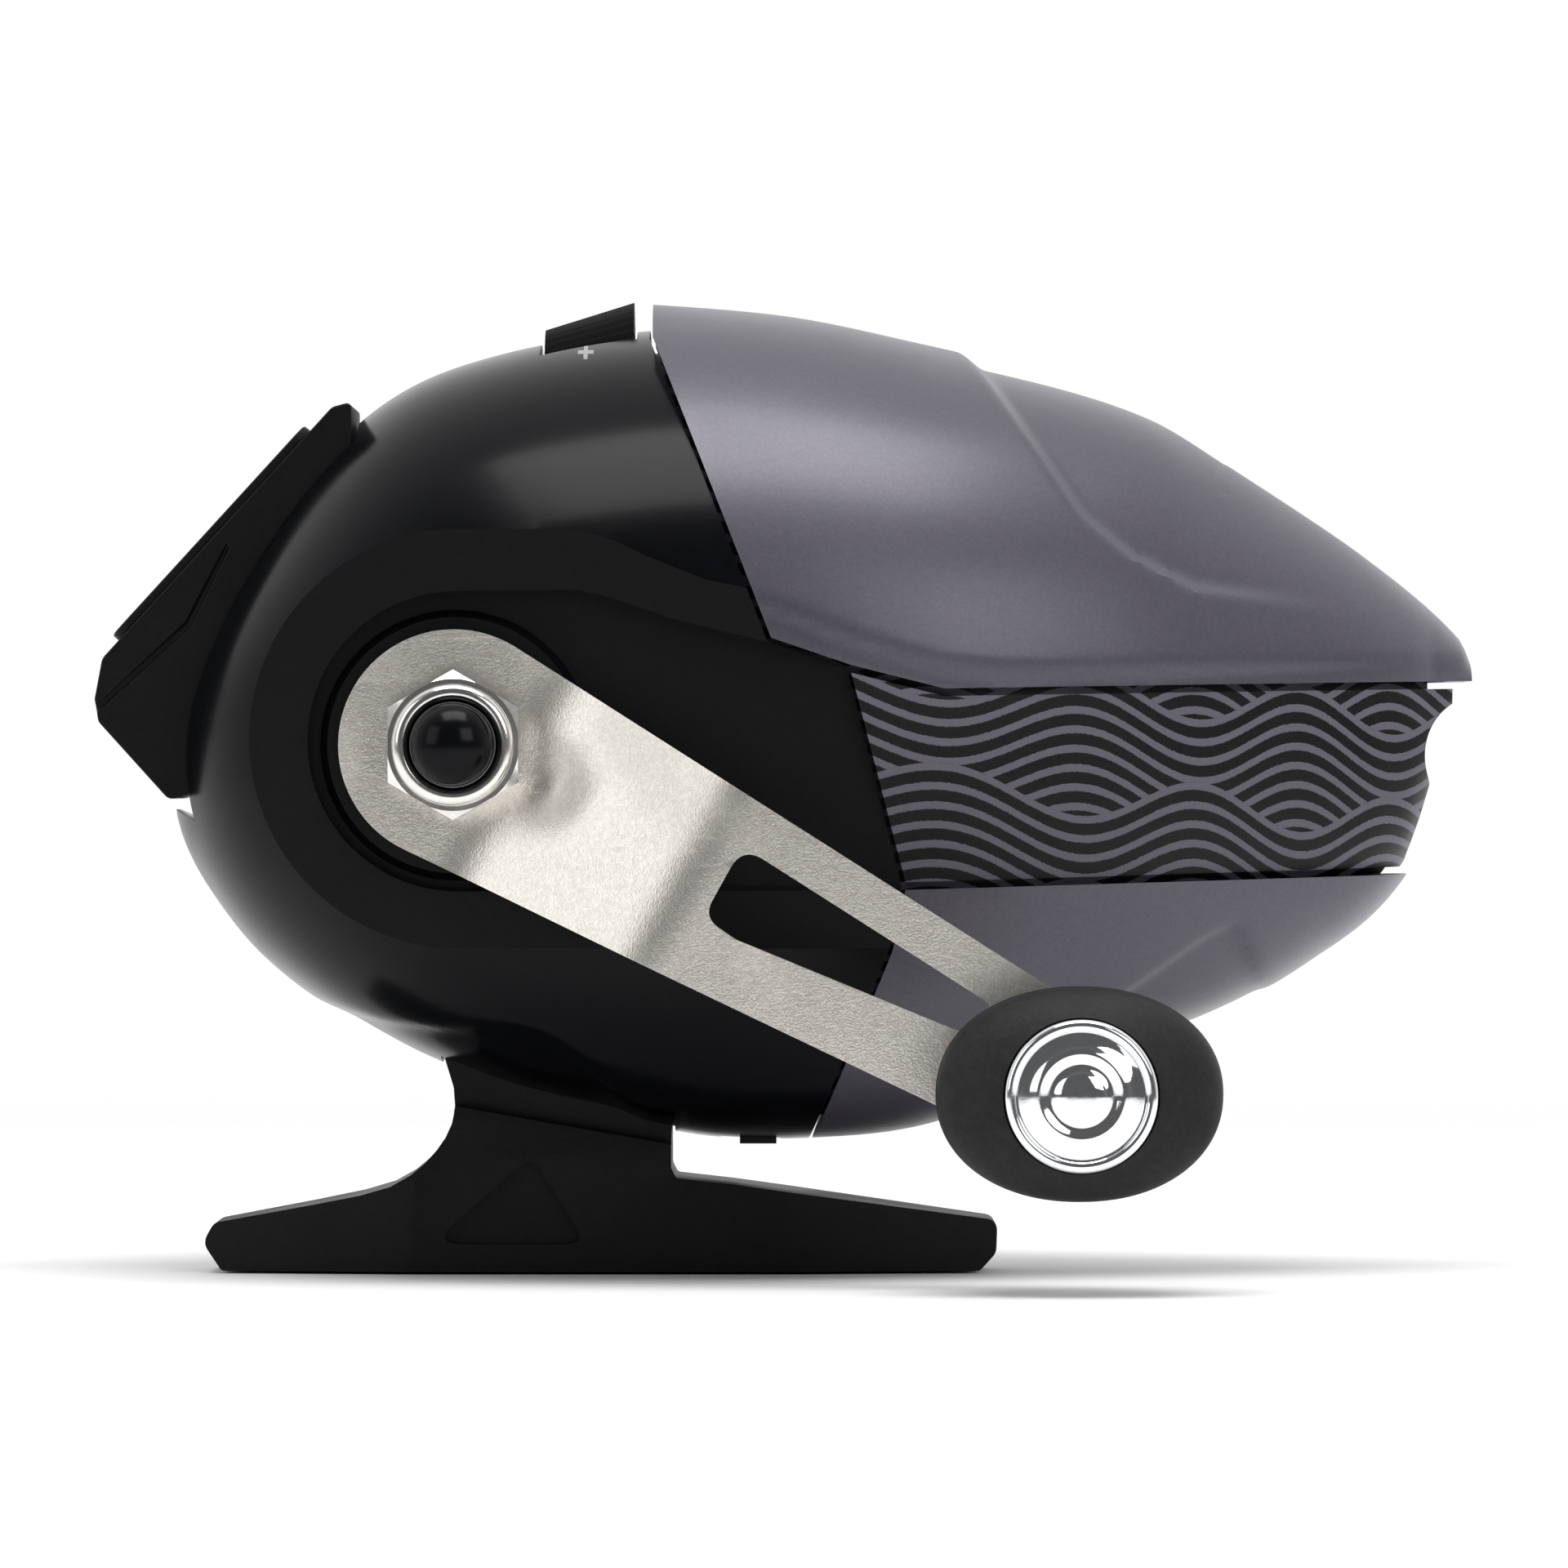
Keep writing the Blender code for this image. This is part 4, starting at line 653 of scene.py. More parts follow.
def handling_group() -> bpy.types.NodeTree:
    """Smudges and hairline scratches from handling, as one mask."""
    hair_turn, hair_stretch, hair_scale = (0.3, 0.9, 0.2), (1.0, 14.0, 14.0), 1.8
    smudge_detail, hair_detail, smudge_share = 4.0, 3.0, 0.7
    smudge_range, hair_range = (0.42, 0.68), (0.60, 0.72)

    def build(bench: Bench, given: bpy.types.Node, result: bpy.types.Node) -> None:
        """Broad clouds for smudges, stretched noise for scratches."""
        place, scale = bench.place(), given.outputs["Scale"]
        smudge = bench.noise(place, scale, smudge_detail)
        turn = bench.add("Mapping")
        for label, source in (("Vector", place), ("Rotation", hair_turn), ("Scale", hair_stretch)):
            bench.feed(turn.inputs[label], source)
        hair = bench.noise(turn.outputs[0], bench.calc("MULTIPLY", scale, hair_scale), hair_detail)
        clouds = bench.ranged(smudge, *smudge_range, 0.0, 1.0)
        lines = bench.ranged(hair, *hair_range, 0.0, 1.0)
        bench.feed(result.inputs["Mask"], bench.calc(
            "ADD", bench.calc("MULTIPLY", clouds, smudge_share),
            bench.calc("MULTIPLY", lines, given.outputs["Scratches"])))

    return shared_group("Handling marks", {"Scale": 90.0, "Scratches": 0.3}, {"Mask": "NodeSocketFloat"},
                        build)


@dataclass(frozen=True)
class Finish:
    """One material of the reel: colour, sheen, grain and handling marks."""

    name: str
    slot: str
    colour: tuple[float, float, float]
    second: tuple[float, float, float]
    roughness: float
    roughness_worn: float
    metallic: float = 0.0
    coat: float = 0.0
    coat_roughness: float = 0.1
    specular: float = 0.5
    grain_scale: float = 4000.0
    grain_depth: float = 0.08
    marks_scale: float = 90.0
    scratches: float = 0.3

    def tint(self, bench: Bench, plain: Socket) -> Socket:
        """The colour over the surface; a patterned finish changes it."""
        return plain

    def material(self) -> bpy.types.Material:
        """The material, built the first time it is asked for."""
        made = bpy.data.materials.get(self.name)
        if made:
            return made
        made = bpy.data.materials.new(self.name)
        made.use_nodes = True
        bench = Bench(made.node_tree)
        shader = made.node_tree.nodes["Principled BSDF"]
        grain = bench.add("Group", node_tree=grain_group())
        grain.inputs["Scale"].default_value = self.grain_scale
        grain.inputs["Depth"].default_value = self.grain_depth
        marks = bench.add("Group", node_tree=handling_group())
        marks.inputs["Scale"].default_value = self.marks_scale
        marks.inputs["Scratches"].default_value = self.scratches
        plain = bench.blend(grain.outputs["Speckle"], (*self.colour, 1.0), (*self.second, 1.0))
        bench.feed(shader.inputs["Base Color"], self.tint(bench, plain))
        bench.feed(shader.inputs["Roughness"], bench.ranged(
            marks.outputs["Mask"], 0.0, 1.0, self.roughness, self.roughness_worn))
        bench.feed(shader.inputs["Normal"], grain.outputs["Normal"])
        shader.inputs["Metallic"].default_value = self.metallic
        shader.inputs["Coat Weight"].default_value = self.coat
        shader.inputs["Coat Roughness"].default_value = self.coat_roughness
        shader.inputs["Specular IOR Level"].default_value = self.specular
        return made


@dataclass(frozen=True)
class WaveBand(Finish):
    """Near-black plastic printed with pale wave lines in bands that part round open eyes."""

    line_colour: tuple[float, float, float] = (0.125, 0.115, 0.145)
    pitch: float = 1.50
    width: float = 0.60
    swing: float = 1.65
    row_height: float = 8.2
    first_crest: float = 26.7
    level: float = 38.5
    fall: float = 0.075
    phase_rate: float = 0.262
    phase_growth: float = 0.00257
    far: float = 90.0
    ragged_scale: float = 5000.0
    ragged_width: float = 0.16
    softness: float = 0.03

    def tint(self, bench: Bench, plain: Socket) -> Socket:
        """Lines that follow the wave above them, in bands whose waves swing opposite ways."""
        place = bench.place()
        split = bench.add("SeparateXYZ")
        bench.feed(split.inputs[0], place)
        run = bench.calc("SUBTRACT", bench.calc("MULTIPLY", split.outputs[0], MM_PER_METRE), self.first_crest)
        rate = bench.calc("ADD", bench.calc("MULTIPLY", run, self.phase_growth), self.phase_rate)
        wave = bench.calc("MULTIPLY", bench.calc("COSINE", bench.calc("MULTIPLY", run, rate)), self.swing)
        height = bench.calc("ADD", bench.calc("MULTIPLY", split.outputs[2], MM_PER_METRE),
                            bench.calc("MULTIPLY", run, self.fall))
        nearest: Socket | None = None
        for row in range(-1, 4):
            swing = wave if row % 2 else bench.calc("MULTIPLY", wave, -1.0)
            level = self.level + (row - 1) * self.row_height
            gap = bench.calc("SUBTRACT", bench.calc("ADD", swing, level), height)
            passed = bench.calc("MULTIPLY", bench.calc("LESS_THAN", gap, 0.0), self.far)
            above = bench.calc("ADD", gap, passed)
            nearest = above if nearest is None else bench.calc("MINIMUM", nearest, above)
        ragged = bench.calc("SUBTRACT", bench.noise(place, self.ragged_scale), 0.5)
        wobble = bench.calc("MULTIPLY", ragged, self.ragged_width)
        share = bench.calc("FRACT", bench.calc("DIVIDE", bench.calc("ADD", nearest, wobble), self.pitch))
        edge = self.width / self.pitch
        line = bench.ranged(share, edge - self.softness, edge + self.softness, 1.0, 0.0)
        return bench.blend(line, plain, (*self.line_colour, 1.0))


@dataclass(frozen=True)
class MarkedGloss(Finish):
    """Gloss plastic with a small printed plus sign below the drag dial."""

    mark_x: float = -1.1
    mark_z: float = 72.5
    arm: float = 0.62
    thickness: float = 0.16
    mark_colour: tuple[float, float, float] = (0.30, 0.30, 0.31)

    def tint(self, bench: Bench, plain: Socket) -> Socket:
        """The plus sign, from the distance to its middle on the crank side."""
        split = bench.add("SeparateXYZ")
        bench.feed(split.inputs[0], bench.place())
        gaps = []
        for source, middle in ((split.outputs[0], self.mark_x), (split.outputs[2], self.mark_z)):
            place = bench.calc("MULTIPLY", source, MM_PER_METRE)
            gaps.append(bench.calc("ABSOLUTE", bench.calc("SUBTRACT", place, middle)))
        along, up = gaps
        thin = bench.calc("LESS_THAN", bench.calc("MINIMUM", along, up), self.thickness)
        short = bench.calc("LESS_THAN", bench.calc("MAXIMUM", along, up), self.arm)
        inside = bench.calc("MULTIPLY", thin, short)
        near = bench.calc("LESS_THAN", split.outputs[1], 0.0)
        return bench.blend(bench.calc("MULTIPLY", inside, near), plain, (*self.mark_colour, 1.0))


GLOSS = MarkedGloss("moulded_gloss_black", "gloss_black", (0.0020, 0.0023, 0.0033), (0.0027, 0.0031, 0.0043),
                    0.20, 0.28, coat=0.03, specular=0.11, grain_depth=0.015, marks_scale=60.0, scratches=0.25)
PANEL = Finish("textured_black_panel", "matte_black", (0.0028, 0.0030, 0.0038), (0.0038, 0.0041, 0.0050),
               0.46, 0.58, specular=0.16, grain_scale=5200.0, grain_depth=0.16)
MATTE = Finish("moulded_matte_black", "matte_black", (0.0030, 0.0032, 0.0040), (0.0044, 0.0046, 0.0055),
               0.42, 0.56, specular=0.18, grain_scale=3600.0, grain_depth=0.12)
GREY = Finish("grey_metallic_paint", "grey_paint", (0.076, 0.070, 0.092), (0.090, 0.083, 0.107),
              0.36, 0.46, metallic=0.35, coat=0.20, coat_roughness=0.22, grain_scale=7000.0,
              grain_depth=0.02, marks_scale=45.0, scratches=0.15)
BAND = WaveBand("printed_wave_band", "patterned_band", (0.0045, 0.0046, 0.0054), (0.0065, 0.0066, 0.0074),
                0.40, 0.52, specular=0.20, grain_scale=4200.0, grain_depth=0.12)
NICKEL = Finish("satin_nickel_plate", "plated_steel", (0.70, 0.665, 0.61), (0.83, 0.80, 0.75),
                0.30, 0.42, metallic=1.0, grain_scale=7500.0, grain_depth=0.18, marks_scale=70.0,
                scratches=0.4)
BRIGHT = Finish("bright_nickel_plate", "plated_steel", (0.76, 0.74, 0.70), (0.82, 0.80, 0.77),
                0.14, 0.24, metallic=1.0, grain_scale=4000.0, grain_depth=0.03)
CHROME = Finish("polished_chrome", "chrome", (0.82, 0.84, 0.87), (0.86, 0.88, 0.90),
                0.05, 0.12, metallic=1.0, grain_scale=5000.0, grain_depth=0.01, scratches=0.5)
RUBBER = Finish("soft_black_rubber", "soft_rubber", (0.0105, 0.0105, 0.0108), (0.0150, 0.0150, 0.0152),
                0.58, 0.74, specular=0.22, grain_scale=2600.0, grain_depth=0.20)
STEEL = Finish("machined_steel", "steel", (0.54, 0.54, 0.55), (0.62, 0.62, 0.62),
               0.26, 0.40, metallic=1.0, grain_depth=0.08, scratches=0.6)
BRONZE = Finish("machined_bronze", "bronze", (0.56, 0.38, 0.17), (0.62, 0.44, 0.22),
                0.30, 0.44, metallic=1.0, grain_depth=0.08, scratches=0.5)
ALLOY = Finish("anodised_alloy", "alloy", (0.52, 0.53, 0.56), (0.58, 0.59, 0.61),
               0.30, 0.42, metallic=1.0, grain_depth=0.06)
FELT = Finish("pressed_felt", "felt", (0.28, 0.25, 0.20), (0.36, 0.33, 0.27),
              0.90, 0.98, grain_scale=2400.0, grain_depth=0.6)


@dataclass
class Softening:
    """Rounding of a piece's hard edges."""

    width: float
    segments: int = 2
    angle: float = 40.0


def dress(name: str, mesh: Mesh, finishes: Sequence[Finish], body: str, stands_for: Sequence[str] = (),
          soften: Softening | None = None, smooth: float = 32.0) -> bpy.types.Object:
    """Make a finished piece of a mesh and hang it on its body.

    Args:
        name: The piece's name.
        mesh: Its shape, in the reel's frame.
        finishes: Its materials; the first one gives its slot.
        body: The body that it rides on.
        stands_for: The plain pieces that it takes the place of.
        soften: Rounding of its edges, if any.
        smooth: Edges sharper than this many degrees stay sharp.

    Returns:
        The piece.
    """
    mesh.name = name
    mesh.materials.clear()
    for finish in finishes:
        mesh.materials.append(finish.material())
    mesh.shade_smooth()
    mesh.set_sharp_from_angle(angle=math.radians(smooth))
    piece = bpy.data.objects.new(name, mesh)
    bpy.context.scene.collection.objects.link(piece)
    if soften:
        bevel = piece.modifiers.new("soft edges", "BEVEL")
        bevel.width = soften.width
        bevel.segments = soften.segments
        bevel.limit_method = "ANGLE"
        bevel.angle_limit = math.radians(soften.angle)
        bevel.harden_normals = False
    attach(piece, body)
    if stands_for:
        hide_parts(*stands_for)
    LOG.info("%s: %d faces, rides on %s", name, len(mesh.polygons), body)
    return piece


# ---------------------------------------------------------------- casing
def race(centre: Pair, radius: float, corners: Outline) -> list[Pair]:
    """An outline with a half circle at the rear and straight runs forward."""
    turns = [math.radians(angle) for angle in range(270, 89, -4)]
    half_circle = [(centre[0] + radius * math.cos(turn), centre[1] + radius * math.sin(turn))
                   for turn in turns]
    return half_circle + list(corners)


def screw_spots() -> list[Pair]:
    """The (y, z) of each deck screw."""
    across, up = (SCREW_CIRCLE * part(math.radians(30)) for part in (math.cos, math.sin))
    return [(side * across, AXIS_Z + level * up) for side in (-1, 1) for level in (1, -1)]


@dataclass
class RearCasing:
    """Gloss black rear shell with flattened sides, crank boss, dial slot and button opening."""

    plateau_centre: Pair = (-0.0106, 0.0420)
    plateau_radius: float = 0.0162
    pocket_centre: Pair = (-0.0107, 0.0418)
    pocket_radius: float = 0.0116
    inner_y: float = POCKET_Y - SHELL_WALL
    half: float = BUTTON_HALF_WIDTH + CLEARANCE
    ear_wall: float = 0.0020
    ear_reach: float = 0.0024
    bushing_radius: float = 0.0041
    collar_wall: float = 0.0018
    collar_length: float = 0.0040
    post_radius: float = 0.0024
    post_bore: float = 0.0011
    web_half: float = 0.0015
    web_reach: float = 1.6
    saddle: Crease = Crease(((0.0048, 0.0113), (-0.0006, 0.0163), (-0.0034, 0.0190), (-0.0060, 0.0198),
                             (-0.0114, 0.0198), (-0.0169, 0.0203), (-0.0268, 0.0230)),
                            depth=0.0006, edge=0.0016, reach=0.0060, fade_in=0.004, fade_out=0.008)

    def plateau(self) -> list[Pair]:
        """Outline of the raised border on each side."""
        return race(self.plateau_centre, self.plateau_radius, [
            (-0.0015, 0.0582), (0.0012, 0.0574), (0.0039, 0.0561), (0.0084, 0.0543), (0.0300, 0.0500),
            (0.0300, 0.0258)])

    def pocket(self) -> list[Pair]:
        """Outline of the flat pocket inside the border."""
        return race(self.pocket_centre, self.pocket_radius, [
            (-0.0015, 0.0535), (0.0015, 0.0528), (0.0057, 0.0513), (0.0131, 0.0495), (0.0300, 0.0440),
            (0.0300, 0.0303)])

    def window(self) -> list[Pair]:
        """Side view of the opening that the button moves in."""
        return [(-0.0450, 0.0366), (-0.0450, 0.0800), (-0.0192, 0.0800), (-0.0192, 0.0646),
                (-0.0162, 0.0643), (-0.0162, 0.0590), (-0.0220, 0.0560), (-0.0245, 0.0400), (-0.0265, 0.0334),
                (-0.0300, 0.0344), (-0.0318, 0.0355), (-0.0339, 0.0366)]

    def screw_posts(self) -> list[Mesh]:
        """Bored posts for the deck screws, each with a web out to the wall."""
        posts = []
        for y, z in screw_spots():
            near, far = sorted((y, self.web_reach * y))
            web = block((-0.0055, near, z - self.web_half), (0.0029, far, z + self.web_half))
            post = join(rod(-0.0060, 0.0032, self.post_radius, (y, z), steps=20), web)
            posts.append(cut(post, rod(-0.0045, 0.0035, self.post_bore, (y, z), steps=16)))
        return posts

    def inner_ribs(self) -> list[Mesh]:
        """Collars for the crank bushings, ears for the button pin and the bracket of the dial axle."""
        start, radius = self.inner_y - self.collar_length, self.bushing_radius + self.collar_wall
        collars = [rod(low, high, radius, CRANK_AXIS, Axis.Y)
                   for low, high in ((-THROUGH_Y, -start), (start, THROUGH_Y))]
        (x, z), reach, outer = BUTTON_PIVOT, self.ear_reach, self.half + self.ear_wall
        ears = [block((x - reach, low, z - reach), (x + reach, high, 0.0750))
                for low, high in ((-outer, -self.half), (self.half, outer))]
        bracket = cut(block((-0.0088, -0.0040, DIAL_Z - 0.0035), (-0.0064, 0.0040, 0.0800)),
                      rod(-0.0100, -0.0050, DIAL_AXLE_BORE, (0, DIAL_Z)))
        return collars + ears + [bracket]

    def hollow(self) -> Mesh:
        """The room inside the shell, without its posts and ribs."""
        room = common(FORM.loft(Roof.REAR, SHELL_WALL, end=0.0310, corners=64, stations=36),
                      block((-0.0500, -self.inner_y, 0.0), (0.0500, self.inner_y, 0.1000)))
        behind = rod(-self.inner_y, self.inner_y, self.plateau_radius - SHELL_WALL, self.plateau_centre,
                     Axis.Y, 64)
        return cut(join(room, behind), *self.screw_posts(), *self.inner_ribs())

    def shape(self) -> Mesh:
        """The shell with every opening."""
        side = [(-0.0450, 0.0040), (-0.0450, 0.0820)] + list(REAR_SEAM)
        level = PLATEAU_Y + 0.0002
        boss = common(plate(self.plateau(), -level, level), through(side))
        outer = join(common(FORM.loft(Roof.REAR, end=0.0300, creases=(self.saddle,)), through(side)), boss)
        for outline, floor_y in ((self.plateau(), PLATEAU_Y), (self.pocket(), POCKET_Y)):
            outer = cut(outer, plate(outline, -0.0450, -floor_y), plate(outline, floor_y, 0.0450))
        seat = turned([(-POCKET_Y + 0.0005, 0), (-POCKET_Y + 0.0005, 0.0106), (-POCKET_Y - 0.0003, 0.0104),
                       (-POCKET_Y - 0.0008, 0.0099), (-POCKET_Y - 0.0008, 0)], CRANK_AXIS, Axis.Y, 96)
        pin_end = self.half + self.ear_wall - 0.0004
        return cut(
            join(cut(outer, self.hollow()), seat), plate(self.window(), -self.half, self.half),
            rod(DIAL_SPAN[0] - CLEARANCE, DIAL_SPAN[1] + CLEARANCE, DIAL_RADII[1] + CLEARANCE, (0, DIAL_Z),
                steps=128),
            block((-0.0126, -0.0073, 0.0), (0.0059, 0.0073, 0.0230)),
            block((0.0095, -0.0043, 0.0), (0.0142, 0.0043, 0.0150)),
            rod(-THROUGH_Y, THROUGH_Y, self.bushing_radius + RUNNING, CRANK_AXIS, Axis.Y),
            rod(-pin_end, pin_end, BUTTON_PIN_RADIUS, BUTTON_PIVOT, Axis.Y))

    def build(self) -> None:
        """Shape the shell and give its flat sides the textured finish."""
        piece = dress("rear_shell", self.shape(), (GLOSS, PANEL), "reel_body", ("rear_casing",), smooth=28)
        for polygon in piece.data.polygons:
            level = abs(polygon.center.y)
            textured = (abs(level - PLATEAU_Y) < FLAT_MARGIN
                        or POCKET_Y - FLAT_MARGIN < level < POCKET_Y + SEAT_HEIGHT)
            if abs(polygon.normal.y) > FLAT_FACING and textured:
                polygon.material_index = 1


@dataclass
class FrontCover:
    """The grey shells, the printed band between them and the ring that the line leaves by."""

    rear_x: float = 0.0010
    overshoot: float = 0.0005
    liner_wall: float = 0.0013
    band_inset: float = 0.0008
    mouth: tuple[float, float, float] = (0.0697, 0.0408, 0.0047)
    guide_outer: float = 0.0052
    guide_inner: float = 0.0034
    guide_span: Pair = (0.0612, 0.0647)
    brow: Crease = Crease(((0.0268, 0.0760), (0.0282, 0.0728), (0.0301, 0.0703), (0.0373, 0.0593),
                           (0.0412, 0.0560), (0.0464, 0.0534), (0.0594, 0.0515)),
                          depth=0.0010, edge=0.0015, reach=0.0120, fade_in=0.004, fade_out=0.016)
    jaw: Crease = Crease(((0.0510, 0.0287), (0.0496, 0.0281), (0.0470, 0.0268), (0.0405, 0.0222),
                          (0.0360, 0.0175)), depth=0.0006, edge=0.0013, reach=0.0090, fade_in=0.003,
                         fade_out=0.004)
    lip: Crease = Crease(((0.0700, 0.0492), (0.0416, 0.0481), (0.0313, 0.0478), (0.0266, 0.0484),
                          (0.0205, 0.0502), (0.0158, 0.0521), (0.0120, 0.0534)),
                         depth=0.0006, edge=0.0017, reach=0.0300)

    def upper(self) -> Mesh:
        """The upper grey shell."""
        seam = [(x + CLEARANCE, z) for x, z in REAR_SEAM[:2]]
        seam += [(x + CLEARANCE if x < 0.02 else x, z + CLEARANCE) for x, z in UPPER_SEAM]
        return self.shell(seam + [(0.0720, 0.0820)], (self.brow, self.lip))

    def lower(self) -> Mesh:
        """The lower grey shell."""
        rear = [(x + CLEARANCE, z) for x, z in REAR_SEAM[5:]]
        side = [(LOWER_SEAM[0][0] + CLEARANCE, LOWER_SEAM[0][1] - CLEARANCE),
                (LOWER_SEAM[1][0], LOWER_SEAM[1][1] - CLEARANCE), (0.0720, 0.0000)] + rear[::-1]
        return self.shell(side, (self.jaw,))

    def shell(self, side: Outline, creases: Sequence[Crease]) -> Mesh:
        """One painted shell.

        Args:
            side: Its side view.
            creases: The soft steps in it.

        Returns:
            The hollow shell.
        """
        outer = FORM.loft(Roof.FRONT, start=self.rear_x, stations=170, corners=240, creases=creases)
        inner = FORM.loft(Roof.FRONT, SHELL_WALL, start=self.rear_x - self.overshoot, corners=80, stations=40)
        return cut(common(outer, through(side)), inner)

    def band(self) -> Mesh:
        """The liner under the shells and the printed band that shows between them."""
        inset, wall, outer_y = SHELL_WALL + CLEARANCE, self.liner_wall, POCKET_Y - SHELL_WALL - CLEARANCE
        liner = common(FORM.loft(Roof.LINER, inset, start=self.rear_x, corners=96, stations=60),
                       block((0.0063, -outer_y, 0.0), (0.0800, outer_y, 0.1000)))
        tongue = cut(common(FORM.loft(Roof.REAR, inset, end=0.0100, corners=96, stations=60),
                            block((0.0030, -0.0220, 0.0678), (0.0072, 0.0220, 0.1000))),
                     FORM.loft(Roof.REAR, inset + wall, end=0.0110, corners=96, stations=60))
        printed = common(FORM.loft(Roof.FRONT, self.band_inset, start=self.rear_x, stations=110, corners=180),
                         through(self.band_outline()))
        room = FORM.loft(Roof.LINER, inset + wall, start=self.rear_x - self.overshoot, end=0.0655, corners=80,
                         stations=40)
        hollow = common(room, join(block((0.0, -outer_y + wall, 0.0), (0.0252, outer_y - wall, 0.1000)),
                                   block((0.0251, -0.0500, 0.0), (0.0900, 0.0500, 0.1000))))
        x, z, radius = self.mouth
        return cut(join(liner, printed, tongue), hollow,
                   rod(-THROUGH_Y, THROUGH_Y, radius, (x, z), Axis.Y, 96),
                   rod(0.0500, 0.0800, self.guide_outer + RUNNING, (0, AXIS_Z), steps=96))

    def band_outline(self) -> list[Pair]:
        """Side view of the printed band, a clearance inside the seams round it."""
        gap = CLEARANCE
        (rear_x, rear_z), (low_x, low_z) = REAR_SEAM[3], LOWER_SEAM[0]
        top = [(x, z - gap) for x, z in UPPER_SEAM[2:]]
        return [(rear_x + gap, rear_z - gap), *top, (LOWER_SEAM[1][0], LOWER_SEAM[1][1] + gap),
                (low_x + gap, low_z + gap)]

    def guide(self) -> Mesh:
        """The polished ring."""
        middle, half = (self.guide_inner + self.guide_outer) / 2, (self.guide_outer - self.guide_inner) / 2
        start, end = self.guide_span
        lip = arc((end - half, middle), (half, -half), range(0, 181, 15))
        return turned([(start, self.guide_inner)] + lip + [(start, self.guide_outer)], (0, AXIS_Z), steps=96)

    def build(self) -> None:
        """Shape and dress the four pieces."""
        dress("upper_shell", self.upper(), (GREY,), "reel_body", ("front_shell_upper",), smooth=26)
        dress("lower_shell", self.lower(), (GREY,), "reel_body", ("front_shell_lower",), smooth=26)
        dress("wave_band", self.band(), (BAND,), "reel_body", ("nose_cover",), smooth=28)
        dress("guide_ring", self.guide(), (CHROME,), "reel_body", ("line_guide",))


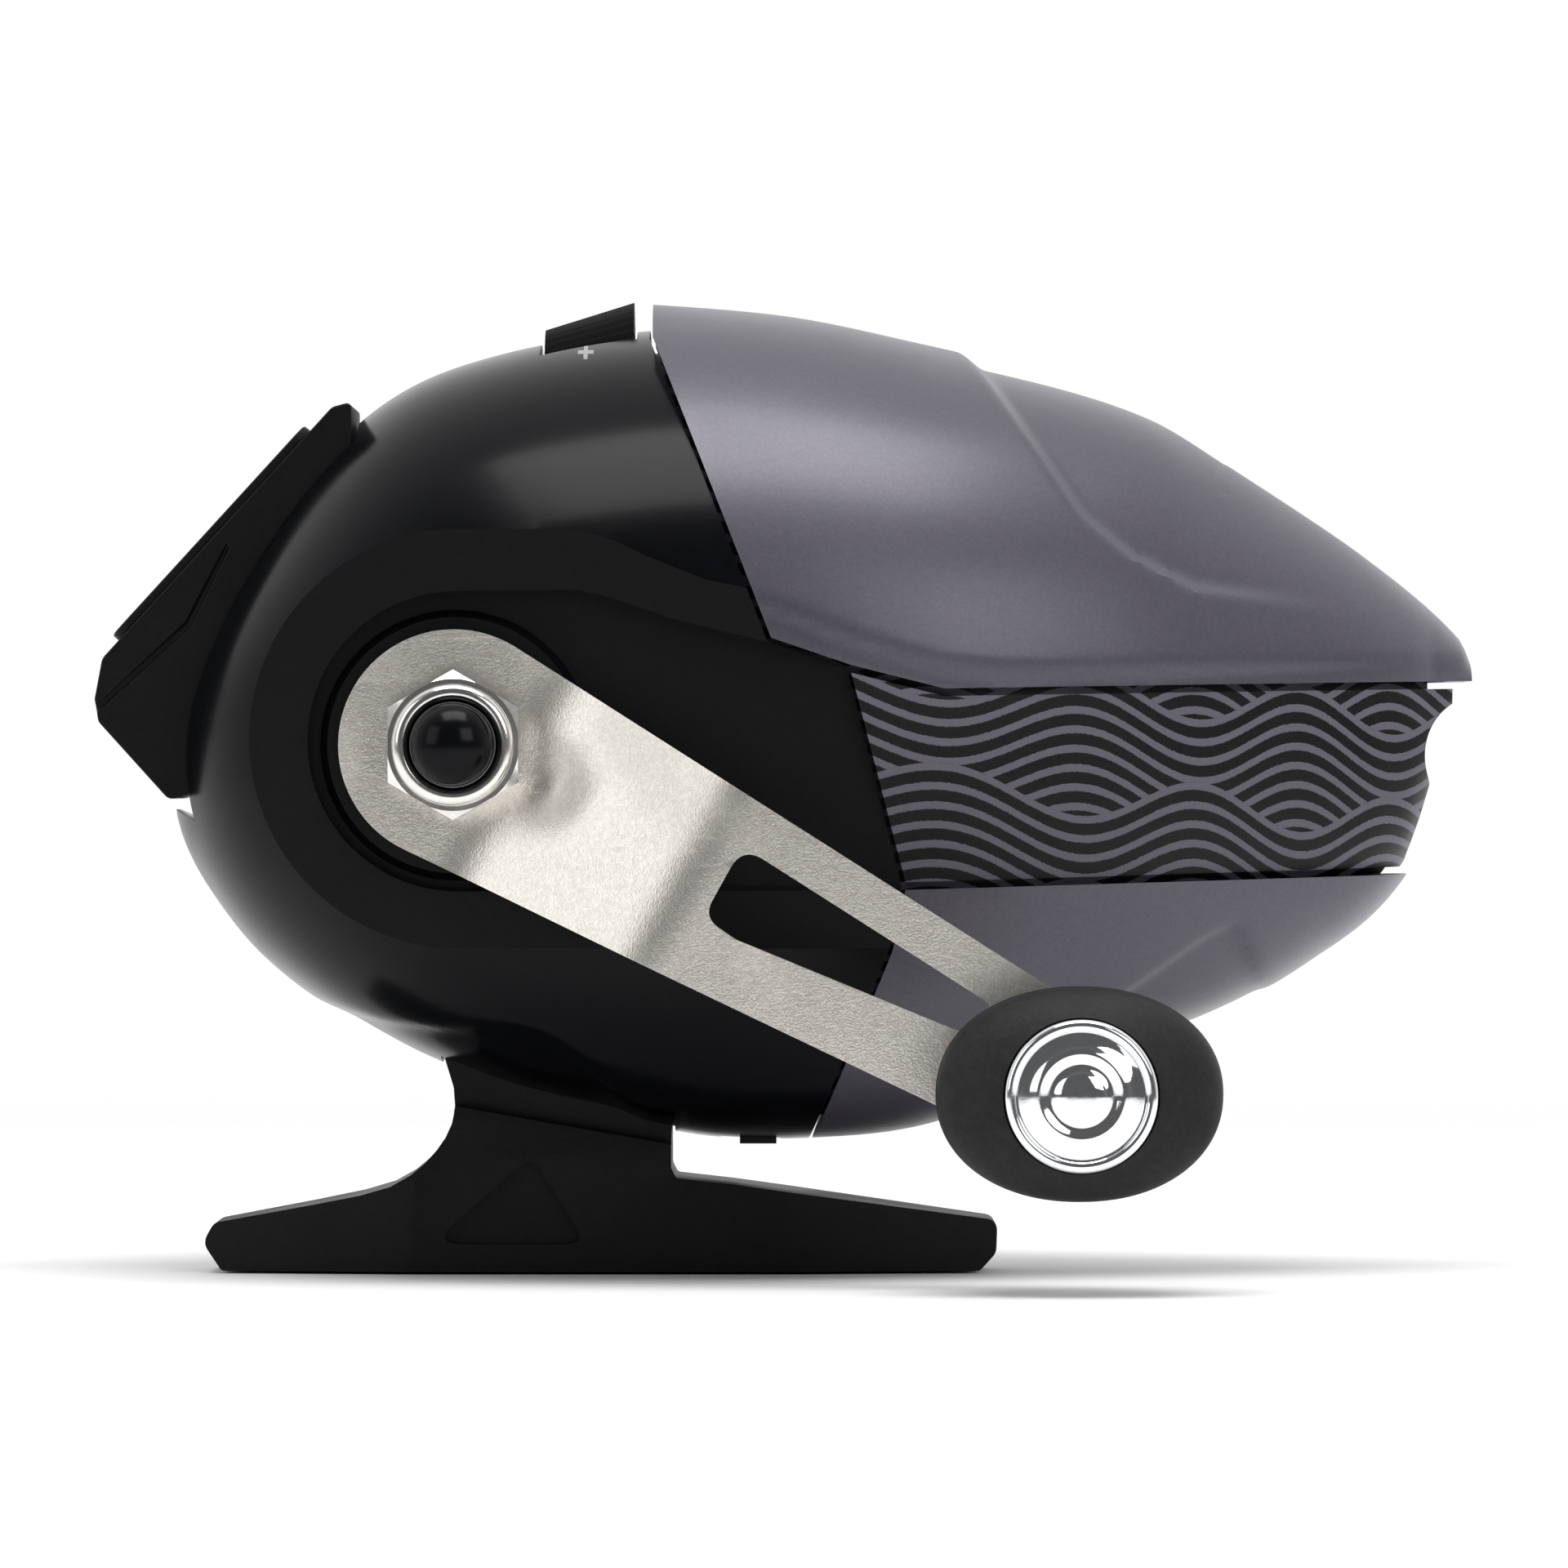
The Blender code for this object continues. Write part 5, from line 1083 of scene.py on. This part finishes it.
# ---------------------------------------------------------------- frame
@dataclass
class Frame:
    """Foot, stem, deck with the spool hub, gear bracket and rear shaft guide in one casting."""

    foot_half_length: float = 0.0300
    foot_width: float = 0.0180
    stem_width: float = 0.0140
    stem_front_x: float = 0.0056
    flank_slope: float = 0.0018
    rim_z: float = 0.0030
    recess_depth: float = 0.0010
    hub_outer: float = 0.0055
    hub_inner: float = 0.0038
    hub_groove: float = 0.0047
    deck_radius: float = 0.0258
    bracket_span: Pair = (-0.0170, -0.0145)
    pawl_spot: Pair = (-0.0033, 0.0520)

    def foot(self) -> Mesh:
        """The foot with round ends, blended into the stem."""
        half, reach = self.foot_width / 2, self.foot_half_length
        side = rounded([
            (-reach, 0, 0.0004), (reach, 0, 0.0004), (reach + 0.0013, 0.0014, 0.0012),
            (reach + 0.0014, 0.0040, 0.0010), (0.0105, 0.0069, 0), (0.0060, 0.0074, 0.0004),
            (self.stem_front_x, 0.0082, 0.0006), (self.stem_front_x, 0.0101, 0.0004), (-0.0114, 0.0131, 0),
            (-0.0117, 0.0117, 0), (-0.0122, 0.0106, 0), (-0.0129, 0.0096, 0), (-0.0138, 0.0086, 0),
            (-0.0150, 0.0076, 0), (-0.0166, 0.0067, 0), (-0.0190, 0.0060, 0), (-0.0230, 0.0052, 0),
            (-reach - 0.0006, 0.0038, 0.0010), (-reach - 0.0015, 0.0022, 0.0012)], 8)
        bm = plate_shape(side, -half, half)
        rim = [edge for edge in bm.edges if abs(edge.verts[0].co.y - edge.verts[1].co.y) < 1e-6
               and min(vert.co.z for vert in edge.verts) > self.rim_z]
        bmesh.ops.bevel(bm, geom=rim, offset=self.flank_slope, segments=4, profile=0.5, affect="EDGES",
                        clamp_overlap=True, offset_type="OFFSET", material=-1)
        solid = finished(bm)
        plan = rounded([(-0.0330, -0.0055, 0.0024), (-0.0150, -half, 0.0060), (0.0150, -half, 0.0060),
                        (0.0330, -0.0055, 0.0024), (0.0330, 0.0055, 0.0024), (0.0150, half, 0.0060),
                        (-0.0150, half, 0.0060), (-0.0330, 0.0055, 0.0024)], 8)
        bm = plate_shape(plan, -0.0010, 0.0160)
        lay_flat = Matrix(((1, 0, 0, 0), (0, 0, 1, 0), (0, 1, 0, 0), (0, 0, 0, 1)))
        bmesh.ops.transform(bm, verts=bm.verts, matrix=lay_flat)
        return common(solid, finished(bm))

    def stem(self) -> Mesh:
        """The neck between foot and casing."""
        outline = [(-0.0118, 0.0040), (self.stem_front_x, 0.0040), (self.stem_front_x, 0.0200),
                   (-0.0123, 0.0220), (-0.0123, 0.0168), (-0.0119, 0.0155), (-0.0116, 0.0145),
                   (-0.0115, 0.0131), (-0.0117, 0.0117)]
        return plate(outline, -self.stem_width / 2, self.stem_width / 2)

    def recesses(self) -> list[Mesh]:
        """The rounded three-sided recess in each flank of the foot."""
        outline = rounded([(-0.0134, 0.0022, 0.0010), (-0.0010, 0.0022, 0.0010),
                           (-0.0054, 0.0092, 0.0012)], 8)
        half = self.foot_width / 2
        return [plate(outline, -half - 0.0010, -half + self.recess_depth),
                plate(outline, half - self.recess_depth, half + 0.0010)]

    def works(self) -> list[Mesh]:
        """The rib, the gear bracket and the deck inside the casing."""
        deck = turned([
            (0.0035, self.hub_inner), (0.0035, self.deck_radius), (0.0060, self.deck_radius),
            (0.0060, self.hub_outer), (0.0204, self.hub_outer), (0.0204, self.hub_groove),
            (0.0214, self.hub_groove), (0.0214, self.hub_outer), (0.0216, self.hub_outer),
            (0.0216, self.hub_inner)], (0, AXIS_Z), steps=72)
        rib = plate([(0.0045, 0.0180), (0.0045, 0.0265), (-0.0110, 0.0265), (-0.0190, 0.0285),
                     (-0.0244, 0.0345), (-0.0244, 0.0470), (-0.0260, 0.0470), (-0.0260, 0.0305),
                     (-0.0190, 0.0245), (-0.0135, 0.0213), (-0.0118, 0.0205),
                     (-0.0118, 0.0180)], -0.0060, 0.0060)
        bracket = plate([(0.0045, 0.0340), (0.0045, 0.0555), (-0.0085, 0.0555), (-0.0130, 0.0490),
                         (-0.0195, 0.0490), (-0.0195, 0.0340)], *self.bracket_span)
        return [rib, bracket, deck]

    def bores(self) -> list[Mesh]:
        """Holes for the shafts, the drag plunger and the deck screws."""
        return [rod(-0.0180, -0.0135, 0.0042, CRANK_AXIS, Axis.Y),
                rod(-0.0180, -0.0135, 0.0013, self.pawl_spot, Axis.Y),
                rod(-0.0270, -0.0234, 0.0016, (0, AXIS_Z)), rod(0.0025, 0.0070, 0.0015, (0, DIAL_Z)),
                *(rod(0.0025, 0.0070, 0.0012, spot) for spot in screw_spots())]

    def build(self) -> None:
        """Join the casting and dress it."""
        body = cut(join(self.foot(), self.stem(), *self.works()), *self.recesses(), *self.bores())
        dress("reel_frame", body, (MATTE,), "reel_body", ("frame",), Softening(0.0004, 2, 50), smooth=30)


# ---------------------------------------------------------------- controls
@dataclass
class Controls:
    """The thumb button and the ribbed drag dial."""

    pad_x: float = -0.0316
    pad_half: float = 0.0097
    groove_depth: float = 0.00025
    grooves: int = 14
    groove_pitch: float = 0.0013
    ribs: int = 60
    rib_depth: float = 0.00030

    def button(self) -> Mesh:
        """The wedge that swings on the pin at its top edge."""
        side = rounded([
            (-0.0398, 0.0452, 0.0006), (-0.0392, 0.0484, 0.0012), (-0.0211, 0.0682, 0.0010),
            (-0.0196, 0.0686, 0.0004), (-0.0196, 0.0641, 0), (-0.0170, 0.0636, 0.0004),
            (-0.0168, 0.0604, 0.0004),
            (-0.0195, 0.0596, 0), (-0.0235, 0.0555, 0), (-0.0284, 0.0500, 0), (-0.0302, 0.0440, 0),
            (-0.0308, 0.0384, 0.0004), (-0.0339, 0.0372, 0.0008), (-0.0395, 0.0434, 0.0008)], 5)
        line = [(-0.0400, 0.0444), (-0.0326, 0.0512), (-0.0294, 0.0574), (-0.0292, 0.0571), (-0.0323, 0.0508),
                (-0.0398, 0.0440)]
        floor_y = BUTTON_HALF_WIDTH - self.groove_depth
        return cut(plate(side, -BUTTON_HALF_WIDTH, BUTTON_HALF_WIDTH),
                   block((self.pad_x, -0.0025, 0.0300), (0.0, 0.0025, 0.0460)),
                   rod(-0.0200, 0.0200, BUTTON_PIN_RADIUS, BUTTON_PIVOT, Axis.Y),
                   plate(line, -0.0120, -floor_y), plate(line, floor_y, 0.0120))

    def thumb_plate(self) -> Mesh:
        """The plate on the button's sloping face, with grooves across it."""
        slope = Vector((0.0181, 0, 0.0198)).normalized()
        out = Vector((-slope.z, 0, slope.x))
        foot = Vector((-0.0389, 0, 0.0490)) + out * 0.00001
        half, near, far, corner = self.pad_half, 0.0012, 0.0236, 0.0015
        outline = rounded([(near, -half, corner), (far, -half, corner), (far, half, corner),
                           (near, half, corner)], 6)
        starts = [0.0040 + self.groove_pitch * index for index in range(self.grooves)]
        pad = cut(plate(outline, -0.0002, 0.0005),
                  *(block((start, 0.0002, -0.0078), (start + 0.0005, 0.0010, 0.0078)) for start in starts))
        pad.transform(Matrix((
            (slope.x, out.x, 0, foot.x), (0, 0, -1, 0), (slope.z, out.z, 0, foot.z), (0, 0, 0, 1))))
        return pad

    def dial(self) -> Mesh:
        """The drag dial with rounded ribs."""
        bm = bmesh.new()
        rings = [ring(bm, self.ribs * 6, partial(self.ribbed, x, radius))
                 for x, radius in zip(DIAL_SPAN, DIAL_RADII)]
        return cut(skinned(bm, rings), rod(-0.0100, 0.0100, DIAL_AXLE_BORE, (0, DIAL_Z)))

    def ribbed(self, x: float, radius: float, across: float, up: float) -> tuple[float, float, float]:
        """A point on the dial's rim at x, from its place on a unit circle."""
        angle = math.atan2(up, across)
        reach = radius - self.rib_depth + self.rib_depth * math.cos(angle * self.ribs)
        return (x, reach * math.cos(angle), DIAL_Z + reach * math.sin(angle))

    def build(self) -> None:
        """Shape and dress the controls."""
        dress("button_body", self.button(), (PANEL,), "button", ("thumb_button",), Softening(0.0003, 2, 35))
        dress("button_pad", self.thumb_plate(), (MATTE,), "button", (), Softening(0.0001, 1, 40))
        dress("dial_wheel", self.dial(), (MATTE,), "dial", ("drag_dial",), smooth=40)


# ---------------------------------------------------------------- crank
@dataclass
class Crank:
    """The pressed arm with its nut and dome, and the soft knob with its bright cap."""

    radius: float = 0.0546
    angle: float = math.radians(-29.0)
    inner_y: float = -0.0334
    wall: float = 0.0022
    step: float = 0.0068
    hub_radius: float = 0.0089
    tip_radius: float = 0.0056
    bend_start: float = 0.0050
    bend_end: float = 0.0205
    nut_flats: float = 0.0100
    nut_height: float = 0.0030
    shaft_end_y: float = -0.0368
    knob_length: float = 0.0150
    knob_size: Pair = (0.0216, 0.0162)
    cap_radius: float = 0.0058
    cap_seat: float = 0.0012
    shaft_bore: float = 0.0031
    post_bore: float = 0.0026
    dome_radius: float = 0.0032
    dome_edge: float = 0.0010
    dome_rise: float = 0.0024
    collar_middle: float = 0.0040
    collar_lip: float = 0.0007
    bend_softness: float = 0.13
    cut_step: float = 0.0007
    dimple_spot: Pair = (0.0086, 0.0012)
    dimple_reach: float = 0.0021
    dimple_depth: float = 0.00075
    oval_power: float = 0.94

    @property
    def knob_centre(self) -> Pair:
        """Where the knob's axis crosses the side view."""
        return (CRANK_X + self.radius * math.cos(self.angle), AXIS_Z + self.radius * math.sin(self.angle))

    @property
    def knob_inner_y(self) -> float:
        """The knob's face next to the arm."""
        return self.inner_y - self.step - 0.0012

    def arm(self) -> Mesh:
        """Round hub, a soft step outwards with a pressed dimple, a tapered slot and a round tip."""
        lean = math.asin((self.hub_radius - self.tip_radius) / self.radius)
        hub = [(self.hub_radius * math.cos(a), self.hub_radius * math.sin(a)) for a in
               (math.pi / 2 - lean + (math.pi + 2 * lean) * i / 64 for i in range(65))]
        tip = [(self.radius + self.tip_radius * math.cos(a), self.tip_radius * math.sin(a)) for a in
               (-math.pi / 2 + lean + (math.pi - 2 * lean) * i / 40 for i in range(41))]
        slot = rounded([(0.0232, -0.0022, 0.0016), (0.0232, 0.0040, 0.0018), (0.0460, 0.0026, 0.0012),
                        (0.0460, -0.0001, 0.0010), (0.0442, -0.0004, 0.0010), (0.0262, -0.0025, 0.0016)], 8)
        sheet = cut(plate(hub + tip, self.inner_y, self.inner_y + self.wall), plate(slot, -0.0500, 0.0),
                    rod(-0.0500, 0.0, self.shaft_bore, (0, 0), Axis.Y, 48))
        bm = bmesh.new()
        bm.from_mesh(sheet)
        first = self.bend_start - 5 * self.cut_step
        cuts = [((first + step * self.cut_step, 0, 0), (1, 0, 0)) for step in range(34)]
        cuts += [((0, 0, step * self.cut_step), (0, 0, 1)) for step in range(-11, 12)]
        for spot, facing in cuts:
            bmesh.ops.bisect_plane(bm, geom=bm.verts[:] + bm.edges[:] + bm.faces[:], dist=1e-6,
                                   plane_co=spot, plane_no=facing)
        for vert in bm.verts:
            vert.co.y -= self.step * self.bend_share(vert.co.x)
            away = math.hypot(vert.co.x - self.dimple_spot[0], (vert.co.z - self.dimple_spot[1]) * 0.8)
            vert.co.y += self.dimple_depth * math.exp(-((away / self.dimple_reach) ** 2))
        bmesh.ops.transform(bm, verts=bm.verts, matrix=Matrix.Translation((CRANK_X, 0, AXIS_Z))
                            @ Matrix.Rotation(-self.angle, 4, "Y"))
        return finished(bm)

    def bend_share(self, along: float) -> float:
        """How far the arm has stepped out at a place along it, with soft corners."""
        share = (along - self.bend_start) / (self.bend_end - self.bend_start)
        soft = self.bend_softness
        if share < -soft or share > 1 + soft:
            return min(max(share, 0.0), 1.0)
        if share < soft:
            return (share + soft) ** 2 / (4 * soft)
        return 1 - (1 + soft - share) ** 2 / (4 * soft) if share > 1 - soft else share

    def nut(self) -> Mesh:
        """Hexagon nut with turned-down corners and a polished collar."""
        centre, inner = CRANK_AXIS, self.inner_y - RUNNING
        outer, corner = inner - self.nut_height, self.nut_flats / math.sqrt(3)
        hexagon = turned([(outer, 0), (outer, corner), (inner, corner), (inner, 0)], centre, Axis.Y, 6)
        middle = Matrix.Translation((CRANK_X, 0, AXIS_Z))
        hexagon.transform(middle @ Matrix.Rotation(math.radians(30), 4, "Y") @ middle.inverted())
        turned_down = turned([(outer, 0), (outer, corner - 0.0007), (outer + 0.0006, corner + 0.0002),
                              (inner, corner + 0.0002), (inner, 0)], centre, Axis.Y, 96)
        edge = outer - self.collar_lip
        lip = arc((edge, self.collar_middle), (-self.collar_lip, self.collar_lip), range(0, 181, 20))
        collar = turned([(outer + 0.0005, 0), (outer + 0.0005, 0.0047)] + lip + [(edge, 0)],
                        centre, Axis.Y, 96)
        return cut(join(common(hexagon, turned_down), collar),
                   rod(self.shaft_end_y - CLEARANCE, 0.0, self.shaft_bore, centre, Axis.Y, 48),
                   rod(-0.0500, self.shaft_end_y - 0.0002, self.dome_radius + RUNNING, centre, Axis.Y, 64))

    def dome(self) -> Mesh:
        """The glossy dome that plugs the nut."""
        start = self.shaft_end_y - 2 * CLEARANCE
        edge = start - self.dome_edge
        crown = arc((edge, 0), (-self.dome_rise, self.dome_radius), range(0, 90, 6))
        return turned([(start, 0), (start, self.dome_radius)] + crown + [(edge - self.dome_rise, 0)],
                      CRANK_AXIS, Axis.Y, 64)

    def grip_scale(self, share: float) -> float:
        """Size of the knob's section at a share of its length from the arm."""
        belly = 0.86 + 0.14 * math.sin(math.pi * min(0.14 + 0.60 * share, 1.0))
        outer = 1 - min(max((share - 0.70) / 0.30, 0.0), 1.0) ** 2.6 * 0.40
        inner = 1 - (1 - min(share / 0.14, 1.0)) ** 2 * 0.10
        seam = 1 + 0.012 * math.exp(-(((share - 0.52) / 0.012) ** 2))
        return belly * outer * inner * seam

    def grip(self) -> Mesh:
        """The soft oval knob with its moulding seam and a seat for the cap."""
        bm, steps = bmesh.new(), 64
        rings = [ring(bm, 112, partial(self.grip_point, 0.5 - 0.5 * math.cos(math.pi * step / steps)))
                 for step in range(steps + 1)]
        outer_y = self.knob_inner_y - self.knob_length
        seat = rod(outer_y - 0.0010, outer_y + self.cap_seat, self.cap_radius + RUNNING, self.knob_centre,
                   Axis.Y, 96)
        return cut(skinned(bm, rings), seat, rod(outer_y, 0.0, self.post_bore, self.knob_centre, Axis.Y, 48))

    def grip_point(self, share: float, across: float, up: float) -> tuple[float, float, float]:
        """A point of the knob at a share of its length, from its place on a unit circle."""
        (x, z), scale = self.knob_centre, self.grip_scale(share)
        width, height = (size / 2 * scale for size in self.knob_size)
        return (x + width * powered(across, self.oval_power), self.knob_inner_y - self.knob_length * share,
                z + height * powered(up, self.oval_power))

    def cap(self) -> Mesh:
        """The bright cap with a rolled rim and two rings round a low boss."""
        low = self.knob_inner_y - self.knob_length + self.cap_seat - CLEARANCE
        edge, roll = self.cap_radius, 0.0005
        rim = arc((low - 0.0010, edge - roll), (-roll, roll), range(0, 181, 20))
        face = [(0.0011, 0.0044), (0.0012, 0.0037), (0.00145, 0.0034), (0.00145, 0.0030), (0.0012, 0.0027),
                (0.0012, 0.0021), (0.00145, 0.0018), (0.0016, 0.0010), (0.0016, 0)]
        return turned([(low, 0), (low, edge)] + rim + [(low - depth, radius) for depth, radius in face],
                      self.knob_centre, Axis.Y, 112)

    def build(self) -> None:
        """Shape and dress the crank's pieces."""
        dress("arm_plate", self.arm(), (NICKEL,), "crank", ("crank_arm",), Softening(0.00028, 3, 45),
              smooth=30)
        dress("hex_nut", self.nut(), (BRIGHT,), "crank", ("crank_nut",), Softening(0.00012, 2, 40))
        dress("dome_plug", self.dome(), (GLOSS,), "crank", ("nut_dome",))
        dress("oval_grip", self.grip(), (RUBBER,), "knob", ("knob_grip",), smooth=40)
        dress("grip_cap", self.cap(), (CHROME,), "knob", ("knob_cap",), smooth=40)


@dataclass
class InnerWorks:
    """The plain pieces inside and on the shafts, which only need their finishes."""

    finishes: dict[str, Finish] = field(default_factory=lambda: {
        finish.slot: finish for finish in (BRONZE, ALLOY, FELT, BRIGHT, MATTE)})

    def build(self) -> None:
        """Give every node that still shows the finish of its slot."""
        slots = {row["node"]: row["material_slot"] for row in frame["record"]["subparts"]}
        for name, node in frame["nodes"].items():
            finish = self.finishes.get(slots.get(name, ""), STEEL)
            for slot in node.material_slots:
                slot.material = finish.material()


# ---------------------------------------------------------------- studio
@dataclass
class Studio:
    """Pale floor, soft lights, white surround and the camera."""

    distance: float = 1.0
    centre: Pair = (0.0145, 0.0385)
    lens: float = 288.5
    floor_radius: float = 0.70
    floor_z: float = -0.0002
    floor_grey: float = 0.90
    floor_roughness: float = 0.7
    floor_fade: Pair = (0.12, 0.60)
    dim_range: Pair = (-0.80, 0.30)
    dim_strength: float = 0.11

    def floor(self) -> None:
        """A pale round floor that fades into the white surround."""
        bm = bmesh.new()
        bmesh.ops.create_circle(bm, cap_ends=True, segments=128, radius=self.floor_radius,
                                matrix=Matrix.Translation((self.centre[0], 0, self.floor_z)))
        mesh = bpy.data.meshes.new("floor")
        bm.to_mesh(mesh)
        bm.free()
        paint = bpy.data.materials.new("pale_floor")
        paint.use_nodes = True
        bench = Bench(paint.node_tree)
        shader = paint.node_tree.nodes["Principled BSDF"]
        shader.inputs["Base Color"].default_value = (*[self.floor_grey] * 3, 1.0)
        shader.inputs["Roughness"].default_value = self.floor_roughness
        reach = bench.add("VectorMath", operation="LENGTH")
        bench.feed(reach.inputs[0], bench.place())
        bench.feed(shader.inputs["Alpha"], bench.ranged(reach.outputs[1], *self.floor_fade, 1.0, 0.0))
        mesh.materials.append(paint)
        floor = bpy.data.objects.new("floor", mesh)
        bpy.context.scene.collection.objects.link(floor)
        floor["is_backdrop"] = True

    def surround(self) -> None:
        """A white world that is dim on the crank side, so that the blacks stay deep."""
        world = bpy.data.worlds.new("surround")
        bpy.context.scene.world = world
        world.use_nodes = True
        bench = Bench(world.node_tree)
        backdrop = world.node_tree.nodes["Background"]
        split = bench.add("SeparateXYZ")
        bench.feed(split.inputs[0], bench.add("TexCoord").outputs["Generated"])
        glow = bench.ranged(split.outputs[1], *self.dim_range, self.dim_strength, 1.0)
        seen = bench.add("LightPath").outputs["Is Camera Ray"]
        backdrop.inputs["Color"].default_value = (1.0, 1.0, 1.0, 1.0)
        bench.feed(backdrop.inputs["Strength"], bench.calc("MAXIMUM", glow, seen))

    def light(self, name: str, place: Sequence[float], size: Pair, power: float) -> None:
        """A soft box that faces the reel.

        Args:
            name: Its name.
            place: Where it stands.
            size: Its width and height.
            power: Its power, in watts.
        """
        lamp = bpy.data.lights.new(name, "AREA")
        lamp.shape = "RECTANGLE"
        lamp.size, lamp.size_y = size
        lamp.energy = power
        stand = bpy.data.objects.new(name, lamp)
        stand.location = place
        aim = Vector((self.centre[0], 0, self.centre[1])) - Vector(place)
        stand.rotation_euler = aim.to_track_quat("-Z", "Y").to_euler()
        bpy.context.scene.collection.objects.link(stand)

    def build(self) -> None:
        """Set up floor, lights and camera."""
        self.floor()
        self.surround()
        self.light("top_box", (0.05, -0.25, 0.90), (0.70, 0.50), 6.5)
        self.light("left_box", (-0.75, -0.70, 0.40), (0.50, 0.70), 1.6)
        self.light("right_box", (0.55, -0.85, 0.45), (0.50, 0.50), 2.2)
        camera = bpy.data.cameras.new("camera")
        camera.lens = self.lens
        camera.sensor_width = 36.0
        stand = bpy.data.objects.new("camera", camera)
        stand.location = (self.centre[0], -self.distance, self.centre[1])
        stand.rotation_euler = (math.pi / 2, 0, 0)
        bpy.context.scene.collection.objects.link(stand)
        bpy.context.scene.camera = stand
        bpy.context.scene.view_settings.view_transform = "Standard"


def corners() -> list[list[float]]:
    """The whole object's box as plain numbers."""
    return [list(corner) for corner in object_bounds()]


def main() -> None:
    """Build the looks in order."""
    logging.basicConfig(level=logging.INFO, format="%(message)s")
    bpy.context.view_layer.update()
    for assembly in (RearCasing(), FrontCover(), Frame(), Controls(), Crank(), InnerWorks(), Studio()):
        assembly.build()
        LOG.info("built %s", type(assembly).__name__)


if __name__ == "__main__":
    main()
